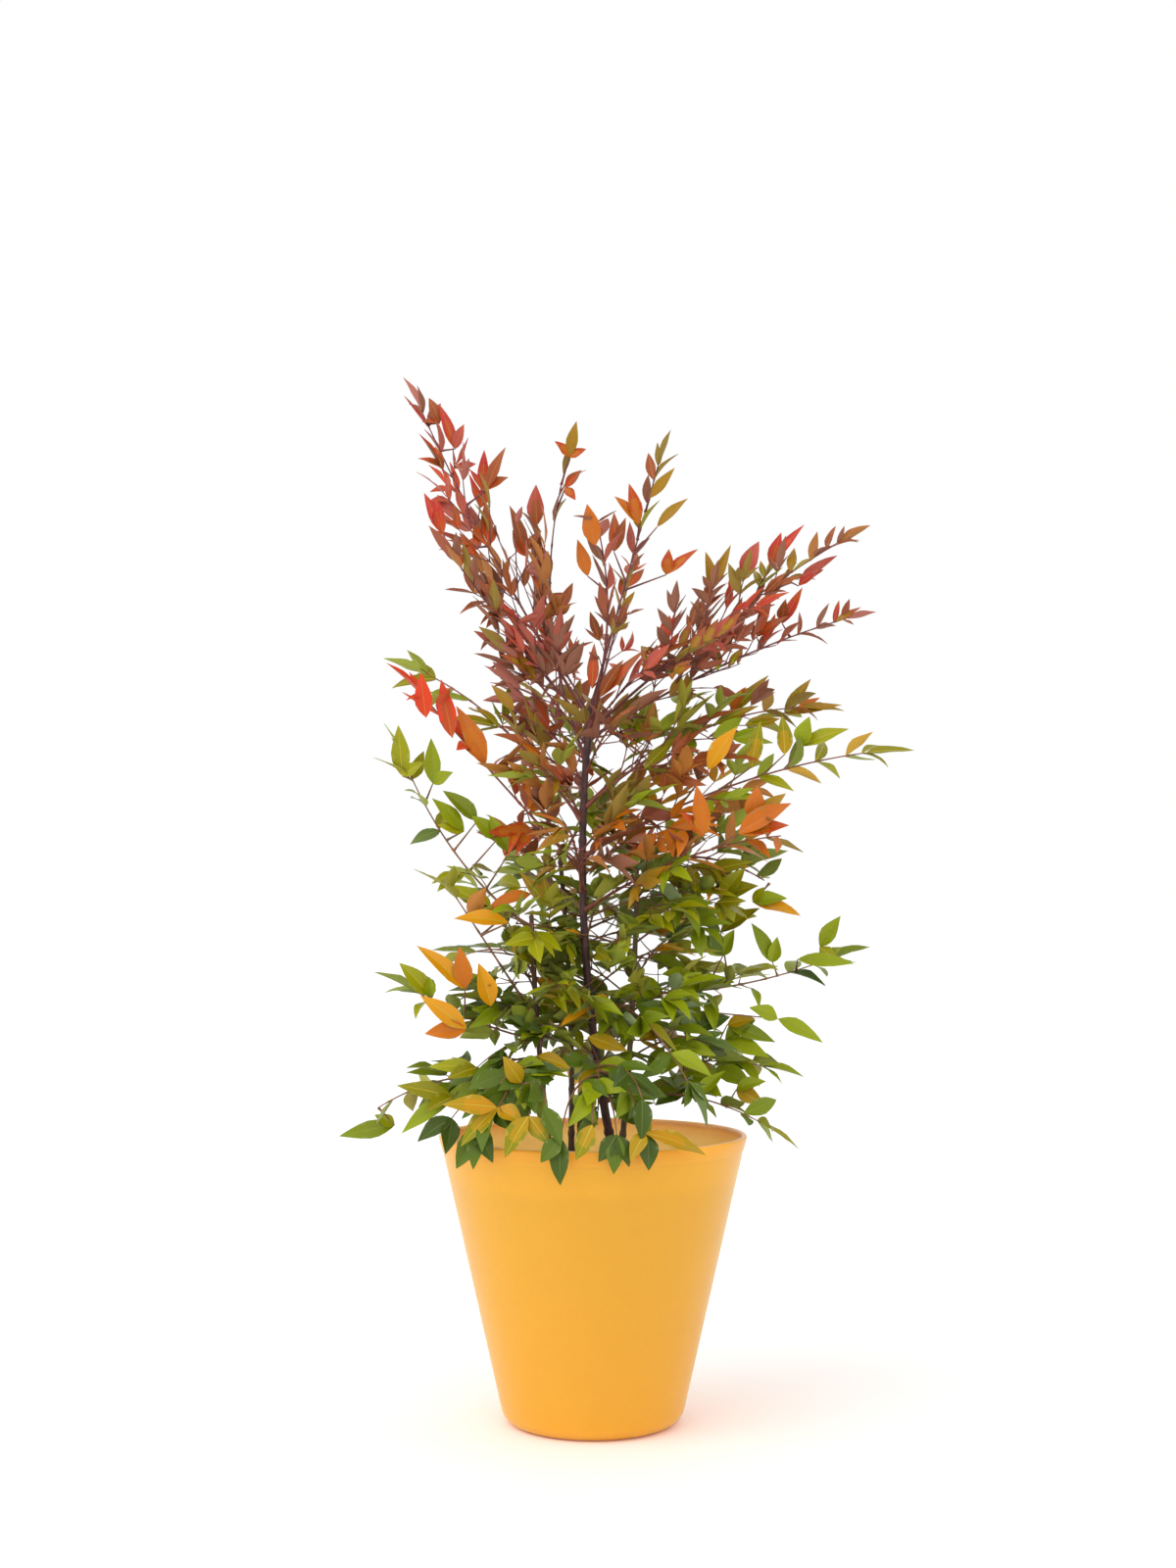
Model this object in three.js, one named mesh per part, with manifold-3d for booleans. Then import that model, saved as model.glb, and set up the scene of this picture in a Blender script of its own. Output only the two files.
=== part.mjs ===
// A heavenly bamboo in a round tapered planter.
//
// Millimetres, +Z up. The origin is the centre of the planter's flat underside, -Y is the front.
// Four unbranched canes stand in the soil. Each cane carries compound leaves: a bare stalk (the bough)
// that runs on into a mass of foliage, which is one rachis with side twigs and leaflets fused on.

import * as THREE from "three";
import { mergeVertices } from "three/addons/utils/BufferGeometryUtils.js";
import Module from "manifold-3d";

const wasm = await Module();
wasm.setup();

// Clearance that is kept between any two neighbouring pieces. Stalks are cut a little wider of their cane,
// because its flat sides lean.
const GAP = 0.3;
const CUT_CLEARANCE = 0.36;
const ROUNDING = 0.01;

// Planter: a straight tapered wall with a rounded foot and a thicker rounded lip.
const POT_HEIGHT = 275;
const POT_TOP_RADIUS = 150;
const POT_FOOT_RADIUS = 85.2;
const POT_CORNER = 18;
const POT_INNER_CORNER = 12;
const POT_WALL = 3;
const POT_FLOOR = 4;
const LIP_THICKNESS = 5.3;
const LIP_DEPTH = 7;
const COLLAR_DEPTH = 15;
const COLLAR_STEP = 0.5;
const POT_SEGMENTS = 36;
const CORNER_STEPS = 3;
const INNER_CORNER_STEPS = 2;
const LIP_STEPS = 4;

// Soil: fills the planter to below the rim.
const SOIL_TOP = 236;

// Canes: start and top in the plan, height of the top, bend at mid height, thickness.
const CANE_STEPS = 9;
const CANE_SIDES = 8;
const CANE_TAPER = 0.72;
const FLARE = 0.7;
const FLARE_HEIGHT = 9;
const CANES = {
  main: { foot: [24, 0], top: [-2, 0, 692], bend: -19, radius: 4.4 },
  right: { foot: [26, 25], top: [44, 25, 546], bend: 4, radius: 3.1 },
  left: { foot: [-39, -15], top: [-60, -15, 487], bend: -3, radius: 3.1 },
  back: { foot: [-22, 46], top: [-34, 74, 552], bend: 5, radius: 3.1 },
};

// Stalks and twigs: corner radii. The stalk's end and the rachis of its foliage are equally thick.
const STALK_RADIUS = 2.3;
const STALK_END_RADIUS = 2;
const STALK_SIDES = 4;
const STALK_STEPS = 2;
const RACHIS_END_RADIUS = 1.4;
const RACHIS_STEPS = 3;
const TWIG_RADIUS = 1.2;

// Leaflets: a three-sided blade with a flat underside and a low ridge, widest below the middle. A side
// leaflet starts at a point behind its twig's middle; a last leaflet grows straight out of the twig's end.
const LEAF_WIDTH = 0.37;
const LEAF_THICKNESS = 1.7;
const LEAF_WIDEST = 0.42;
const LEAF_ROOT_DEPTH = 0.5;
const LEAF_SPREAD = 0.75;
const LEAF_ROLL = [-0.5, 0.5];
const LEAF_LIFT = [0.3, 1.1];
const LEAF_SCALE = [0.85, 1];
const TRIO_SETBACK = 7;

// Side twigs: partners stand nearly opposite, pairs are twisted about the rachis by turns, and a long
// twig has a second pair of leaflets.
const STAGGER = 3.5;
const FIRST_PAIR = 0.3;
const SECOND_PAIR = 0.45;
const SPAN_WITH_SECOND_PAIR = 52;
const TWIG_PAIRS = 2;
const SHORTENING = 0.25;
const TWIST = 0.75;
const TWIG_LIFT = [0.2, 0.9];
const TWIG_VARIATION = [0.85, 1.15];

// Four levels of the crown: leaflet length, pairs along the rachis, length of the lowest side twig as a share
// of the compound leaf, angle of the side twigs to the rachis, how far all growth is lifted (or hangs), and
// the bare share of the length. The bare part is a bough of its own on all but the short leaves at the foot.
const LEVELS = {
  top: { leaf: 50, pairs: 4, reach: 0.18, spread: 0.75, lift: 0.42, bare: 0.3, colour: 0xa45a45 },
  middle: { leaf: 58, pairs: 4, reach: 0.26, spread: 0.95, lift: 0.12, bare: 0.28, colour: 0x936038 },
  low: { leaf: 64, pairs: 3, reach: 0.32, spread: 1.05, lift: -0.2, bare: 0.22, colour: 0x5f6b2a },
  foot: { leaf: 64, pairs: 3, reach: 0.32, spread: 1.05, lift: -0.25, bare: 0.14, colour: 0x66702a },
};
const LEVEL_WITHOUT_BOUGHS = "foot";

// Compound leaves by level: name, cane, height on the cane, tip of the last leaflet, bow at mid length.
const COMPOUND_LEAVES = {
  top: [
    ["crown_left_high", "main", 680, [-189, 30, 1033], [-9, 0, 0]],
    ["crown_left", "main", 675, [-158, -75, 864], [0, 0, -8]],
    ["crown_centre", "main", 640, [-20, 80, 981], [-30, 24, 0]],
    ["crown_front", "main", 671, [-8, -105, 892], [20, 0, 6]],
    ["crown_right_high", "main", 690, [76, 15, 976], [0, 0, 0]],
    ["crown_right", "main", 667, [266, -55, 864], [0, 0, 12]],
    ["crown_right_low", "main", 660, [288, 60, 798], [0, 0, 14]],
    ["crown_back", "main", 653, [50, 180, 880], [0, 0, 10]],
  ],
  middle: [
    ["middle_left", "main", 529, [-192, -95, 728], [0, 0, 0]],
    ["middle_left_high", "main", 578, [-204, 45, 744], [0, 0, 28]],
    ["middle_right_high", "main", 592, [252, 45, 694], [0, 0, 34]],
    ["middle_right", "main", 544, [308, -45, 648], [0, 0, 22]],
    ["middle_right_low", "main", 491, [214, -125, 562], [0, 0, 20]],
    ["middle_front", "main", 510, [-30, -205, 560], [0, 0, 26]],
    ["middle_back", "main", 606, [-70, 205, 735], [0, 0, 20]],
    ["right_high", "right", 534, [214, 35, 488], [0, 0, 30]],
    ["back_high", "back", 540, [40, 235, 600], [0, 0, 30]],
  ],
  low: [
    ["right_middle", "right", 410, [284, 75, 461], [0, 0, -15]],
    ["right_base", "main", 306, [200, -62, 264], [0, 0, 26]],
    ["left_high", "left", 474, [-206, 25, 688], [-12, 0, -20]],
    ["left_middle", "left", 385, [-160, -85, 551], [0, 0, 0]],
    ["left_base", "left", 322, [-252, 25, 268], [0, 0, 38]],
    ["back_left", "back", 420, [-165, 185, 430], [0, 0, 26]],
    ["back_right", "back", 460, [140, 210, 470], [0, 0, 26]],
  ],
  foot: [
    ["right_low", "right", 334, [214, 50, 326], [0, 0, 12]],
    ["left_low", "left", 366, [-211, -35, 440], [0, 0, -10]],
    ["front_left", "left", 340, [-104, -165, 264], [0, 0, 40]],
    ["front_low", "main", 330, [4, -160, 262], [0, 0, 46]],
    ["front_right", "main", 400, [110, -150, 285], [0, 0, 40]],
    ["back_low", "back", 340, [-20, 225, 292], [0, 0, 36]],
  ],
};

// Angles in radians that a twig or leaflet tries in turn to stay clear of its neighbours; then it is skipped.
const TRIES = [0, 0.3, -0.3, 0.6, -0.6];

// A seeded row of numbers between 0 and 1.
const RANDOM_FACTOR = 48271;
const RANDOM_MODULUS = 2147483647;
const RANDOM_WARM_UP = 3;
const FIRST_SEED = 1001;

class SeededRandom {
  constructor(seed) {
    this.state = seed;
    for (let step = 0; step < RANDOM_WARM_UP; step += 1) {
      this.next();
    }
  }

  next() {
    this.state = (this.state * RANDOM_FACTOR) % RANDOM_MODULUS;
    return this.state / RANDOM_MODULUS;
  }

  within([low, high]) {
    return low + (high - low) * this.next();
  }
}

// Geometry helpers.

const UP = new THREE.Vector3(0, 0, 1);
const BACK = new THREE.Vector3(0, 1, 0);
const SMALL_SHARE = 0.001;

// A curve from start to end that stands off its chord by the bow at mid length.
function bowedCurve(start, end, bow) {
  const control = start.clone().add(end).multiplyScalar(0.5).addScaledVector(bow, 2);
  return new THREE.QuadraticBezierCurve3(start, control, end);
}

// Side, tangent and normal of a curve at a share of its length; the normal leans towards the reference.
function frameAt(curve, share, reference) {
  const tangent = curve.getTangent(share);
  const side = tangent.clone().cross(reference).normalize();
  const normal = side.clone().cross(tangent);
  return { side, tangent, normal };
}

// The same curve as a few straight stretches, so that what grows from it meets its flat sides.
function straightened(curve, from, to, steps) {
  const path = new THREE.CurvePath();
  for (let step = 0; step < steps; step += 1) {
    const start = curve.getPoint(from + (to - from) * step / steps);
    const end = curve.getPoint(from + (to - from) * (step + 1) / steps);
    path.add(new THREE.LineCurve3(start, end));
  }
  return path;
}

// How far a curve runs per unit of its share, near a share.
function speedAt(curve, share) {
  return curve.getPoint(share).distanceTo(curve.getPoint(share + SMALL_SHARE)) / SMALL_SHARE;
}

// A tapering limb: a cylinder bent along part of a curve, with a flat cut at both ends.
function limbGeometry(curve, from, to, radiusAt, sides, steps, reference) {
  const geometry = new THREE.CylinderGeometry(1, 1, 1, sides, steps);
  const position = geometry.getAttribute("position");
  for (let i = 0; i < position.count; i += 1) {
    const share = position.getY(i) + 0.5;
    const along = from + (to - from) * share;
    const { side, normal } = frameAt(curve, along, reference);
    const radius = radiusAt(share);
    const point = curve.getPoint(along)
      .addScaledVector(side, position.getX(i) * radius)
      .addScaledVector(normal, position.getZ(i) * radius);
    position.setXYZ(i, point.x, point.y, point.z);
  }
  return geometry;
}

// A three-sided section: where it is, how it is turned, and its width and thickness.
function section(point, direction, normal, width, thickness) {
  const side = direction.clone().cross(normal).normalize();
  return { point, side, face: side.clone().cross(direction), width, thickness };
}

// The section of a twig with a given corner radius.
function twigSection(point, direction, normal, radius) {
  return section(point, direction, normal, Math.sqrt(3) * radius, 2 * radius);
}

// The sections of a leaflet beyond its root.
function leafSections(root, direction, normal, length) {
  const widest = root.clone().addScaledVector(direction, LEAF_WIDEST * length);
  const tip = root.clone().addScaledVector(direction, length);
  return [
    section(widest, direction, normal, LEAF_WIDTH * length, LEAF_THICKNESS),
    section(tip, direction, normal, 0, 0),
  ];
}

// A closed skin over a row of three-sided sections: a three-sided cylinder with its rings moved to them.
function sectionGeometry(sections) {
  const steps = sections.length - 1;
  const geometry = new THREE.CylinderGeometry(1, 1, 1, 3, steps);
  const position = geometry.getAttribute("position");
  for (let i = 0; i < position.count; i += 1) {
    const { point, side, face, width, thickness } = sections[Math.round((position.getY(i) + 0.5) * steps)];
    const across = Math.sign(Math.round(position.getX(i))) * width / 2;
    const corner = point.clone()
      .addScaledVector(side, across)
      .addScaledVector(face, position.getZ(i) * thickness / 2);
    position.setXYZ(i, corner.x, corner.y, corner.z);
  }
  return geometry;
}

// Turns a closed three.js geometry into a solid: shared corners are merged, empty triangles dropped.
function solidOf(geometry) {
  geometry.deleteAttribute("normal");
  geometry.deleteAttribute("uv");
  const merged = mergeVertices(geometry);
  const corners = merged.index.array;
  const triangles = [];
  for (let i = 0; i < corners.length; i += 3) {
    const [a, b, c] = corners.slice(i, i + 3);
    if (a !== b && b !== c && c !== a) {
      triangles.push(a, b, c);
    }
  }
  const vertProperties = merged.getAttribute("position").array;
  const triVerts = new Uint32Array(triangles);
  return new wasm.Manifold(new wasm.Mesh({ numProp: 3, vertProperties, triVerts }));
}

// Turns a solid back into a three.js geometry.
function geometryOf(solid) {
  const mesh = solid.getMesh();
  const geometry = new THREE.BufferGeometry();
  geometry.setAttribute("position", new THREE.BufferAttribute(mesh.vertProperties, mesh.numProp));
  geometry.setIndex(new THREE.BufferAttribute(mesh.triVerts, 1));
  return geometry;
}

// Joins solids and keeps the skin of the largest body: sealed hollows are filled, loose scraps dropped.
function fuse(solids) {
  const joined = solids.reduce((sum, solid) => sum.add(solid));
  const bodies = joined.decompose();
  return bodies.reduce((best, body) => (body.volume() > best.volume() ? body : best));
}

// Planter and soil.

const WALL_SLOPE = (POT_TOP_RADIUS - POT_FOOT_RADIUS) / POT_HEIGHT;
const WALL_LEAN = Math.atan(WALL_SLOPE);
const WALL_ACROSS = POT_WALL / Math.cos(WALL_LEAN);

function outerRadius(z) {
  return POT_FOOT_RADIUS + WALL_SLOPE * z;
}

function innerRadius(z) {
  return outerRadius(z) - WALL_ACROSS;
}

// Points of a rounded corner between a level floor and the leaning wall, from the floor up.
function cornerPoints(radiusAt, floor, corner, steps) {
  const turn = Math.PI / 2 - WALL_LEAN;
  const centreX = radiusAt(floor) - corner * Math.tan(turn / 2);
  const points = [];
  for (let step = 0; step <= steps; step += 1) {
    const angle = turn * step / steps;
    points.push([centreX + corner * Math.sin(angle), floor + corner * (1 - Math.cos(angle))]);
  }
  return points;
}

function potGeometry() {
  const lipRadius = LIP_THICKNESS / 2;
  const lipCentre = [POT_TOP_RADIUS - lipRadius, POT_HEIGHT - lipRadius];
  const lip = [];
  for (let step = 0; step <= LIP_STEPS; step += 1) {
    const angle = Math.PI * step / LIP_STEPS;
    lip.push([lipCentre[0] + lipRadius * Math.cos(angle), lipCentre[1] + lipRadius * Math.sin(angle)]);
  }
  const collarFoot = POT_HEIGHT - COLLAR_DEPTH;
  const lipFoot = POT_HEIGHT - LIP_DEPTH;
  const profile = [
    [0, 0],
    ...cornerPoints(outerRadius, 0, POT_CORNER, CORNER_STEPS),
    [outerRadius(collarFoot) - COLLAR_STEP, collarFoot],
    [outerRadius(collarFoot), collarFoot + COLLAR_STEP],
    ...lip,
    [POT_TOP_RADIUS - LIP_THICKNESS, lipFoot + LIP_THICKNESS - POT_WALL],
    [innerRadius(lipFoot), lipFoot],
    ...cornerPoints(innerRadius, POT_FLOOR, POT_INNER_CORNER, INNER_CORNER_STEPS).reverse(),
    [0, POT_FLOOR],
  ];
  return latheGeometry(profile);
}

function soilGeometry() {
  const insetRadius = (z) => innerRadius(z) - GAP / Math.cos(WALL_LEAN);
  const profile = [
    [0, POT_FLOOR + GAP],
    ...cornerPoints(insetRadius, POT_FLOOR + GAP, POT_INNER_CORNER, INNER_CORNER_STEPS),
    [insetRadius(SOIL_TOP), SOIL_TOP],
    [0, SOIL_TOP],
  ];
  return latheGeometry(profile);
}

// Turns a profile of radius and height round the Z axis.
function latheGeometry(profile) {
  const points = profile.map(([radius, z]) => new THREE.Vector2(radius, z));
  return new THREE.LatheGeometry(points, POT_SEGMENTS).rotateX(Math.PI / 2);
}

// Canes.

function caneCurve(cane) {
  const foot = new THREE.Vector3(cane.foot[0], cane.foot[1], SOIL_TOP + GAP);
  return bowedCurve(foot, new THREE.Vector3(...cane.top), new THREE.Vector3(cane.bend, 0, 0));
}

function caneGeometry(cane, grown) {
  const curve = caneCurve(cane);
  const height = cane.top[2] - SOIL_TOP;
  const radiusAt = (share) => {
    const flare = FLARE * Math.exp(-share * height / FLARE_HEIGHT);
    return cane.radius * (1 - (1 - CANE_TAPER) * share + flare) + grown;
  };
  const geometry = limbGeometry(curve, 0, 1, radiusAt, CANE_SIDES, CANE_STEPS, BACK);
  const position = geometry.getAttribute("position");
  for (let i = 0; i < position.count; i += 1) {
    position.setZ(i, Math.max(position.getZ(i), SOIL_TOP + GAP));
  }
  return geometry;
}

// A cane grown all round and at its top, to cut stalks clear of it.
function caneCutter(cane) {
  const [x, y, z] = cane.top;
  return solidOf(caneGeometry({ ...cane, top: [x, y, z + CUT_CLEARANCE] }, CUT_CLEARANCE));
}

// The point on a cane's axis at a height.
function canePoint(cane, height) {
  const curve = caneCurve(cane);
  const share = (height - SOIL_TOP - GAP) / (cane.top[2] - SOIL_TOP - GAP);
  return curve.getPoint(share);
}

// Compound leaves.

// The line of a compound leaf from its cane to the tip of its last leaflet.
function leafLine(cane, height, tip, bow) {
  return bowedCurve(canePoint(CANES[cane], height), new THREE.Vector3(...tip), new THREE.Vector3(...bow));
}

// The bare stalk of a compound leaf, cut clear of its cane.
function boughSolid(line, bare, cutter) {
  const radiusAt = (share) => STALK_RADIUS + (STALK_END_RADIUS - STALK_RADIUS) * share;
  const whole = solidOf(limbGeometry(line, 0, bare, radiusAt, STALK_SIDES, STALK_STEPS, UP));
  return fuse([whole.subtract(cutter)]);
}

// Keeps every piece that is already placed, to test new pieces against.
class Crowd {
  constructor() {
    this.pieces = [];
  }

  add(solid) {
    this.pieces.push({ solid, box: this.boxOf(solid) });
  }

  boxOf(solid) {
    const { min, max } = solid.boundingBox();
    return new THREE.Box3(new THREE.Vector3(...min), new THREE.Vector3(...max)).expandByScalar(GAP);
  }

  // True where the solid keeps its clearance to every piece but the one that carries it.
  isClear(solid, carrier) {
    const box = this.boxOf(solid);
    return !this.pieces.some((piece) => piece.solid !== carrier
      && piece.box.intersectsBox(box)
      && piece.solid.minGap(solid, 2 * GAP) < GAP - ROUNDING);
  }
}

// Grows one mass of foliage along the line of its compound leaf.
class Foliage {
  constructor(name, level, line, from, seed, crowd) {
    this.name = name;
    this.level = level;
    this.line = line;
    this.length = line.getLength();
    this.from = from;
    this.end = 1 - level.leaf / this.length;
    this.axis = straightened(line, this.from, this.end, RACHIS_STEPS);
    this.random = new SeededRandom(seed);
    this.crowd = crowd;
    this.solids = [];
  }

  // Adds a piece if it is clear of all others, and tells whether it was.
  place(solid, carrier) {
    const fits = this.crowd.isClear(solid, carrier);
    if (fits) {
      this.solids.push(solid);
      this.crowd.add(solid);
    }
    return fits;
  }

  // The rachis and its last leaflet, cut clear of a cane where it grows straight from one.
  growRachis(cutter) {
    const sections = [];
    for (let step = 0; step <= RACHIS_STEPS; step += 1) {
      const share = step / RACHIS_STEPS;
      const along = this.from + (this.end - this.from) * share;
      const { tangent, normal } = frameAt(this.line, along, UP);
      const radius = STALK_END_RADIUS + (RACHIS_END_RADIUS - STALK_END_RADIUS) * share;
      sections.push(twigSection(this.line.getPoint(along), tangent, normal, radius));
    }
    const { point, tangent, normal } = this.twistedFrame(1, this.level.pairs);
    sections.push(...leafSections(point, tangent, normal, this.level.leaf));
    const whole = solidOf(sectionGeometry(sections));
    this.rachis = cutter ? fuse([whole.subtract(cutter)]) : whole;
    if (!this.place(this.rachis, null)) {
      throw new Error(`the rachis of ${this.name} touches a neighbour`);
    }
  }

  // Lifts a direction towards the light, or lets it hang.
  lift(direction, strength) {
    return direction.clone().addScaledVector(UP, this.level.lift * this.random.within(strength)).normalize();
  }

  // A side leaflet. It is turned in its own plane until it is clear, or skipped.
  growLeaf(point, direction, normal, length, carrier) {
    const lifted = this.lift(direction, LEAF_LIFT);
    const face = normal.clone().applyAxisAngle(lifted, this.random.within(LEAF_ROLL));
    for (const attempt of TRIES) {
      const heading = lifted.clone().applyAxisAngle(normal, attempt);
      const rootPoint = point.clone().addScaledVector(heading, -LEAF_ROOT_DEPTH);
      const root = section(rootPoint, heading, face, 0, 0);
      const leaf = solidOf(sectionGeometry([root, ...leafSections(point, heading, face, length)]));
      if (this.place(leaf, carrier)) {
        return;
      }
    }
  }

  // Two nearly opposite leaflets on a twig, at a distance from its start.
  growPair(axis, distance, normal, length, carrier) {
    for (const hand of [-1, 1]) {
      const share = (distance + hand * STAGGER / 2) / axis.getLength();
      const heading = axis.getTangent(share).applyAxisAngle(normal, hand * LEAF_SPREAD);
      this.growLeaf(axis.getPoint(share), heading, normal, length * this.random.within(LEAF_SCALE), carrier);
    }
  }

  // A side twig that ends in three leaflets, at the first angle where it is clear of its neighbours.
  growTwig(point, direction, normal, span) {
    const length = this.level.leaf * this.random.within(LEAF_SCALE);
    for (const attempt of TRIES) {
      const heading = direction.clone().applyAxisAngle(normal, attempt);
      const axis = new THREE.LineCurve3(point, point.clone().addScaledVector(heading, span));
      const twig = solidOf(sectionGeometry([
        twigSection(axis.v1, heading, normal, TWIG_RADIUS),
        twigSection(axis.v2, heading, normal, TWIG_RADIUS),
        ...leafSections(axis.v2, heading, normal, length),
      ]));
      if (this.place(twig, this.rachis)) {
        if (span > SPAN_WITH_SECOND_PAIR) {
          this.growPair(axis, span * SECOND_PAIR, normal, length, twig);
        }
        this.growPair(axis, span - TRIO_SETBACK, normal, length, twig);
        return;
      }
    }
  }

  // The point and frame of a pair at a share of the rachis: pairs are turned about it by turns.
  twistedFrame(share, pair) {
    const point = this.axis.getPoint(share);
    const { tangent, normal } = frameAt(this.axis, share, UP);
    return { point, tangent, normal: normal.applyAxisAngle(tangent, pair % 2 === 0 ? TWIST : -TWIST) };
  }

  // The pairs along the rachis, shorter towards the tip: side twigs first, then plain leaflets.
  grow() {
    const { pairs, reach, spread, bare, leaf } = this.level;
    for (let pair = 0; pair < pairs; pair += 1) {
      const along = bare + (this.end - bare) * (pair + FIRST_PAIR) / pairs;
      const middle = (along - this.from) / (this.end - this.from);
      const span = this.length * reach * (1 - pair * SHORTENING);
      for (const hand of [-1, 1]) {
        const share = middle + hand * STAGGER / 2 / this.axis.getLength();
        const { point, tangent, normal } = this.twistedFrame(share, pair);
        const heading = this.lift(
          tangent.clone().applyAxisAngle(normal, -hand * spread * this.random.within(TWIG_VARIATION)),
          TWIG_LIFT,
        );
        if (pair < TWIG_PAIRS) {
          this.growTwig(point, heading, normal, span * this.random.within(TWIG_VARIATION));
        } else {
          this.growLeaf(point, heading, normal, leaf, this.rachis);
        }
      }
    }
    const { normal } = this.twistedFrame(1, pairs);
    this.growPair(this.axis, this.axis.getLength() - TRIO_SETBACK, normal, leaf, this.rachis);
  }
}

// The object.

function material(colour, roughness) {
  return new THREE.MeshStandardMaterial({ color: colour, roughness, metalness: 0 });
}

const POT_MATERIAL = material(0xf8b44c, 0.42);
const SOIL_MATERIAL = material(0x3a2a1f, 0.95);
const CANE_MATERIAL = material(0x4d3029, 0.7);
const BOUGH_MATERIAL = material(0x6b3b2c, 0.6);
const LEAF_ROUGHNESS = 0.6;

const plant = new THREE.Group();
const crowd = new Crowd();

function addNode(name, solid, nodeMaterial) {
  const mesh = new THREE.Mesh(geometryOf(solid), nodeMaterial);
  mesh.name = name;
  plant.add(mesh);
}

function addFixedNode(name, geometry, nodeMaterial) {
  const solid = solidOf(geometry);
  crowd.add(solid);
  addNode(name, solid, nodeMaterial);
}

addFixedNode("pot", potGeometry(), POT_MATERIAL);
addFixedNode("soil", soilGeometry(), SOIL_MATERIAL);
for (const [name, cane] of Object.entries(CANES)) {
  addFixedNode(`cane_${name}`, caneGeometry(cane, 0), CANE_MATERIAL);
}

const masses = [];
for (const [levelName, rows] of Object.entries(COMPOUND_LEAVES)) {
  const level = LEVELS[levelName];
  const hasBoughs = levelName !== LEVEL_WITHOUT_BOUGHS;
  for (const [name, caneName, height, tip, bow] of rows) {
    const line = leafLine(caneName, height, tip, bow);
    const from = hasBoughs ? level.bare + GAP / speedAt(line, level.bare) : 0;
    const mass = new Foliage(name, level, line, from, FIRST_SEED + masses.length, crowd);
    const cutter = caneCutter(CANES[caneName]);
    if (hasBoughs) {
      const bough = boughSolid(line, level.bare, cutter);
      if (!crowd.isClear(bough, null)) {
        throw new Error(`the bough of ${name} touches a neighbour`);
      }
      crowd.add(bough);
      addNode(`bough_${name}`, bough, BOUGH_MATERIAL);
    }
    mass.growRachis(hasBoughs ? null : cutter);
    masses.push(mass);
  }
}

for (const mass of masses) {
  mass.grow();
}
for (const mass of masses) {
  const solid = fuse(mass.solids);
  addNode(`foliage_${mass.name}`, solid, material(mass.level.colour, LEAF_ROUGHNESS));
}

export default plant;
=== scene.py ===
"""The looks of a heavenly bamboo in a round tapered planter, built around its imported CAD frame.

Metres, +Z up. The origin is the centre of the planter's flat underside and -Y is the front.
Four unbranched canes carry compound leaves. Each compound leaf is a bare stalk and a spray of foliage: a
rachis with jointed side twigs that end in threes of leaflets. The foliage grows by the same rule as the
frame's solids, carried on to finer twigs and leaflets of natural size.
"""

import math
import random

import bpy
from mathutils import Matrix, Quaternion, Vector, noise


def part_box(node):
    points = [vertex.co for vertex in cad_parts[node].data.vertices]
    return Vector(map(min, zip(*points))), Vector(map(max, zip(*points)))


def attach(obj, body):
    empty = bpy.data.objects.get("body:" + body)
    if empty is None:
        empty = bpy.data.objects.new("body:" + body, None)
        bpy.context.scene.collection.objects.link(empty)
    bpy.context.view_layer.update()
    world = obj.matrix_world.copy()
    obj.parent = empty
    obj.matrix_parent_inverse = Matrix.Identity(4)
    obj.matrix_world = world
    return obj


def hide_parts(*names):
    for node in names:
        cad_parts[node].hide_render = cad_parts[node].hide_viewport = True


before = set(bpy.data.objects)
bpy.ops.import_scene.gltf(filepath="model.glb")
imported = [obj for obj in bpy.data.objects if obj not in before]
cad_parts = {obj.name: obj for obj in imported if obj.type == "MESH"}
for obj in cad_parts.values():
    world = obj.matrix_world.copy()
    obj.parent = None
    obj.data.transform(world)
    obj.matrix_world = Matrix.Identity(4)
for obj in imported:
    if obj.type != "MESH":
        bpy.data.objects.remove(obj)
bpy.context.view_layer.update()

BODY = "root"
UP = Vector((0, 0, 1))


def metres(millimetres):
    """Lengths in millimetres, as metres."""
    return tuple(length / 1000 for length in millimetres)


# ---------------------------------------------------------------------------------------------------------
# Driving sizes, in metres. Angles called crease are in degrees: edges sharper than that stay sharp.

CREASE = 60

# Planter: its height and rim come from the frame.
POT_TOP_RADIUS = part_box("pot")[1].x
POT_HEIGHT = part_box("pot")[1].z
POT_FOOT_RADIUS = 0.0852
POT_CORNER = 0.018
POT_INNER_CORNER = 0.012
POT_WALL = 0.003
POT_FLOOR = 0.004
LIP_THICKNESS = 0.0053
LIP_DEPTH = 0.007
# The top of the lip takes the paler colour of the inside: a painted highlight along the lip.
LIP_PAINTED_HIGHLIGHT_FROM = 4  # the step of the lip's arc from which it has the paler colour of the inside
COLLAR_DEPTH = 0.015
COLLAR_STEP = 0.0005
POT_SEGMENTS = 192
POT_CREASE = 28
ARC_STEPS = 10

# Soil: its level comes from the frame.
SOIL_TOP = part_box("soil")[1].z
SOIL_GAP = 0.0006  # to the planter's wall
SOIL_RINGS = 40
SOIL_SEGMENTS = 120
SOIL_CREASE = 80
SOIL_RELIEF = 0.006
SOIL_LUMP_SCALE = 60
SOIL_LUMP_FRACTAL = (1, 2, 5)  # falloff, step of the scale, octaves
SOIL_LUMP_LEVEL = 0.6
MOUND_HEIGHT = 0.004
MOUND_RADIUS = 0.06

# Bark chips on the soil. Widths and heights are shares of the length. A section is its place along the chip
# and how wide it is.
CHIP_COUNT = 420
CHIP_LENGTH = (0.005, 0.016)
CHIP_WIDTH = (0.35, 0.6)
CHIP_HEIGHT = (0.12, 0.25)
CHIP_SECTIONS = ((-0.42, 0.6), (0, 1), (0.42, 0.7))
CHIP_SIDES = 6
CHIP_JITTER = (0.75, 1.2)
CHIP_TILT = 0.5
CHIP_RISE = 0.0008
CHIP_MARGIN = 0.012
CHIP_CREASE = 40

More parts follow.
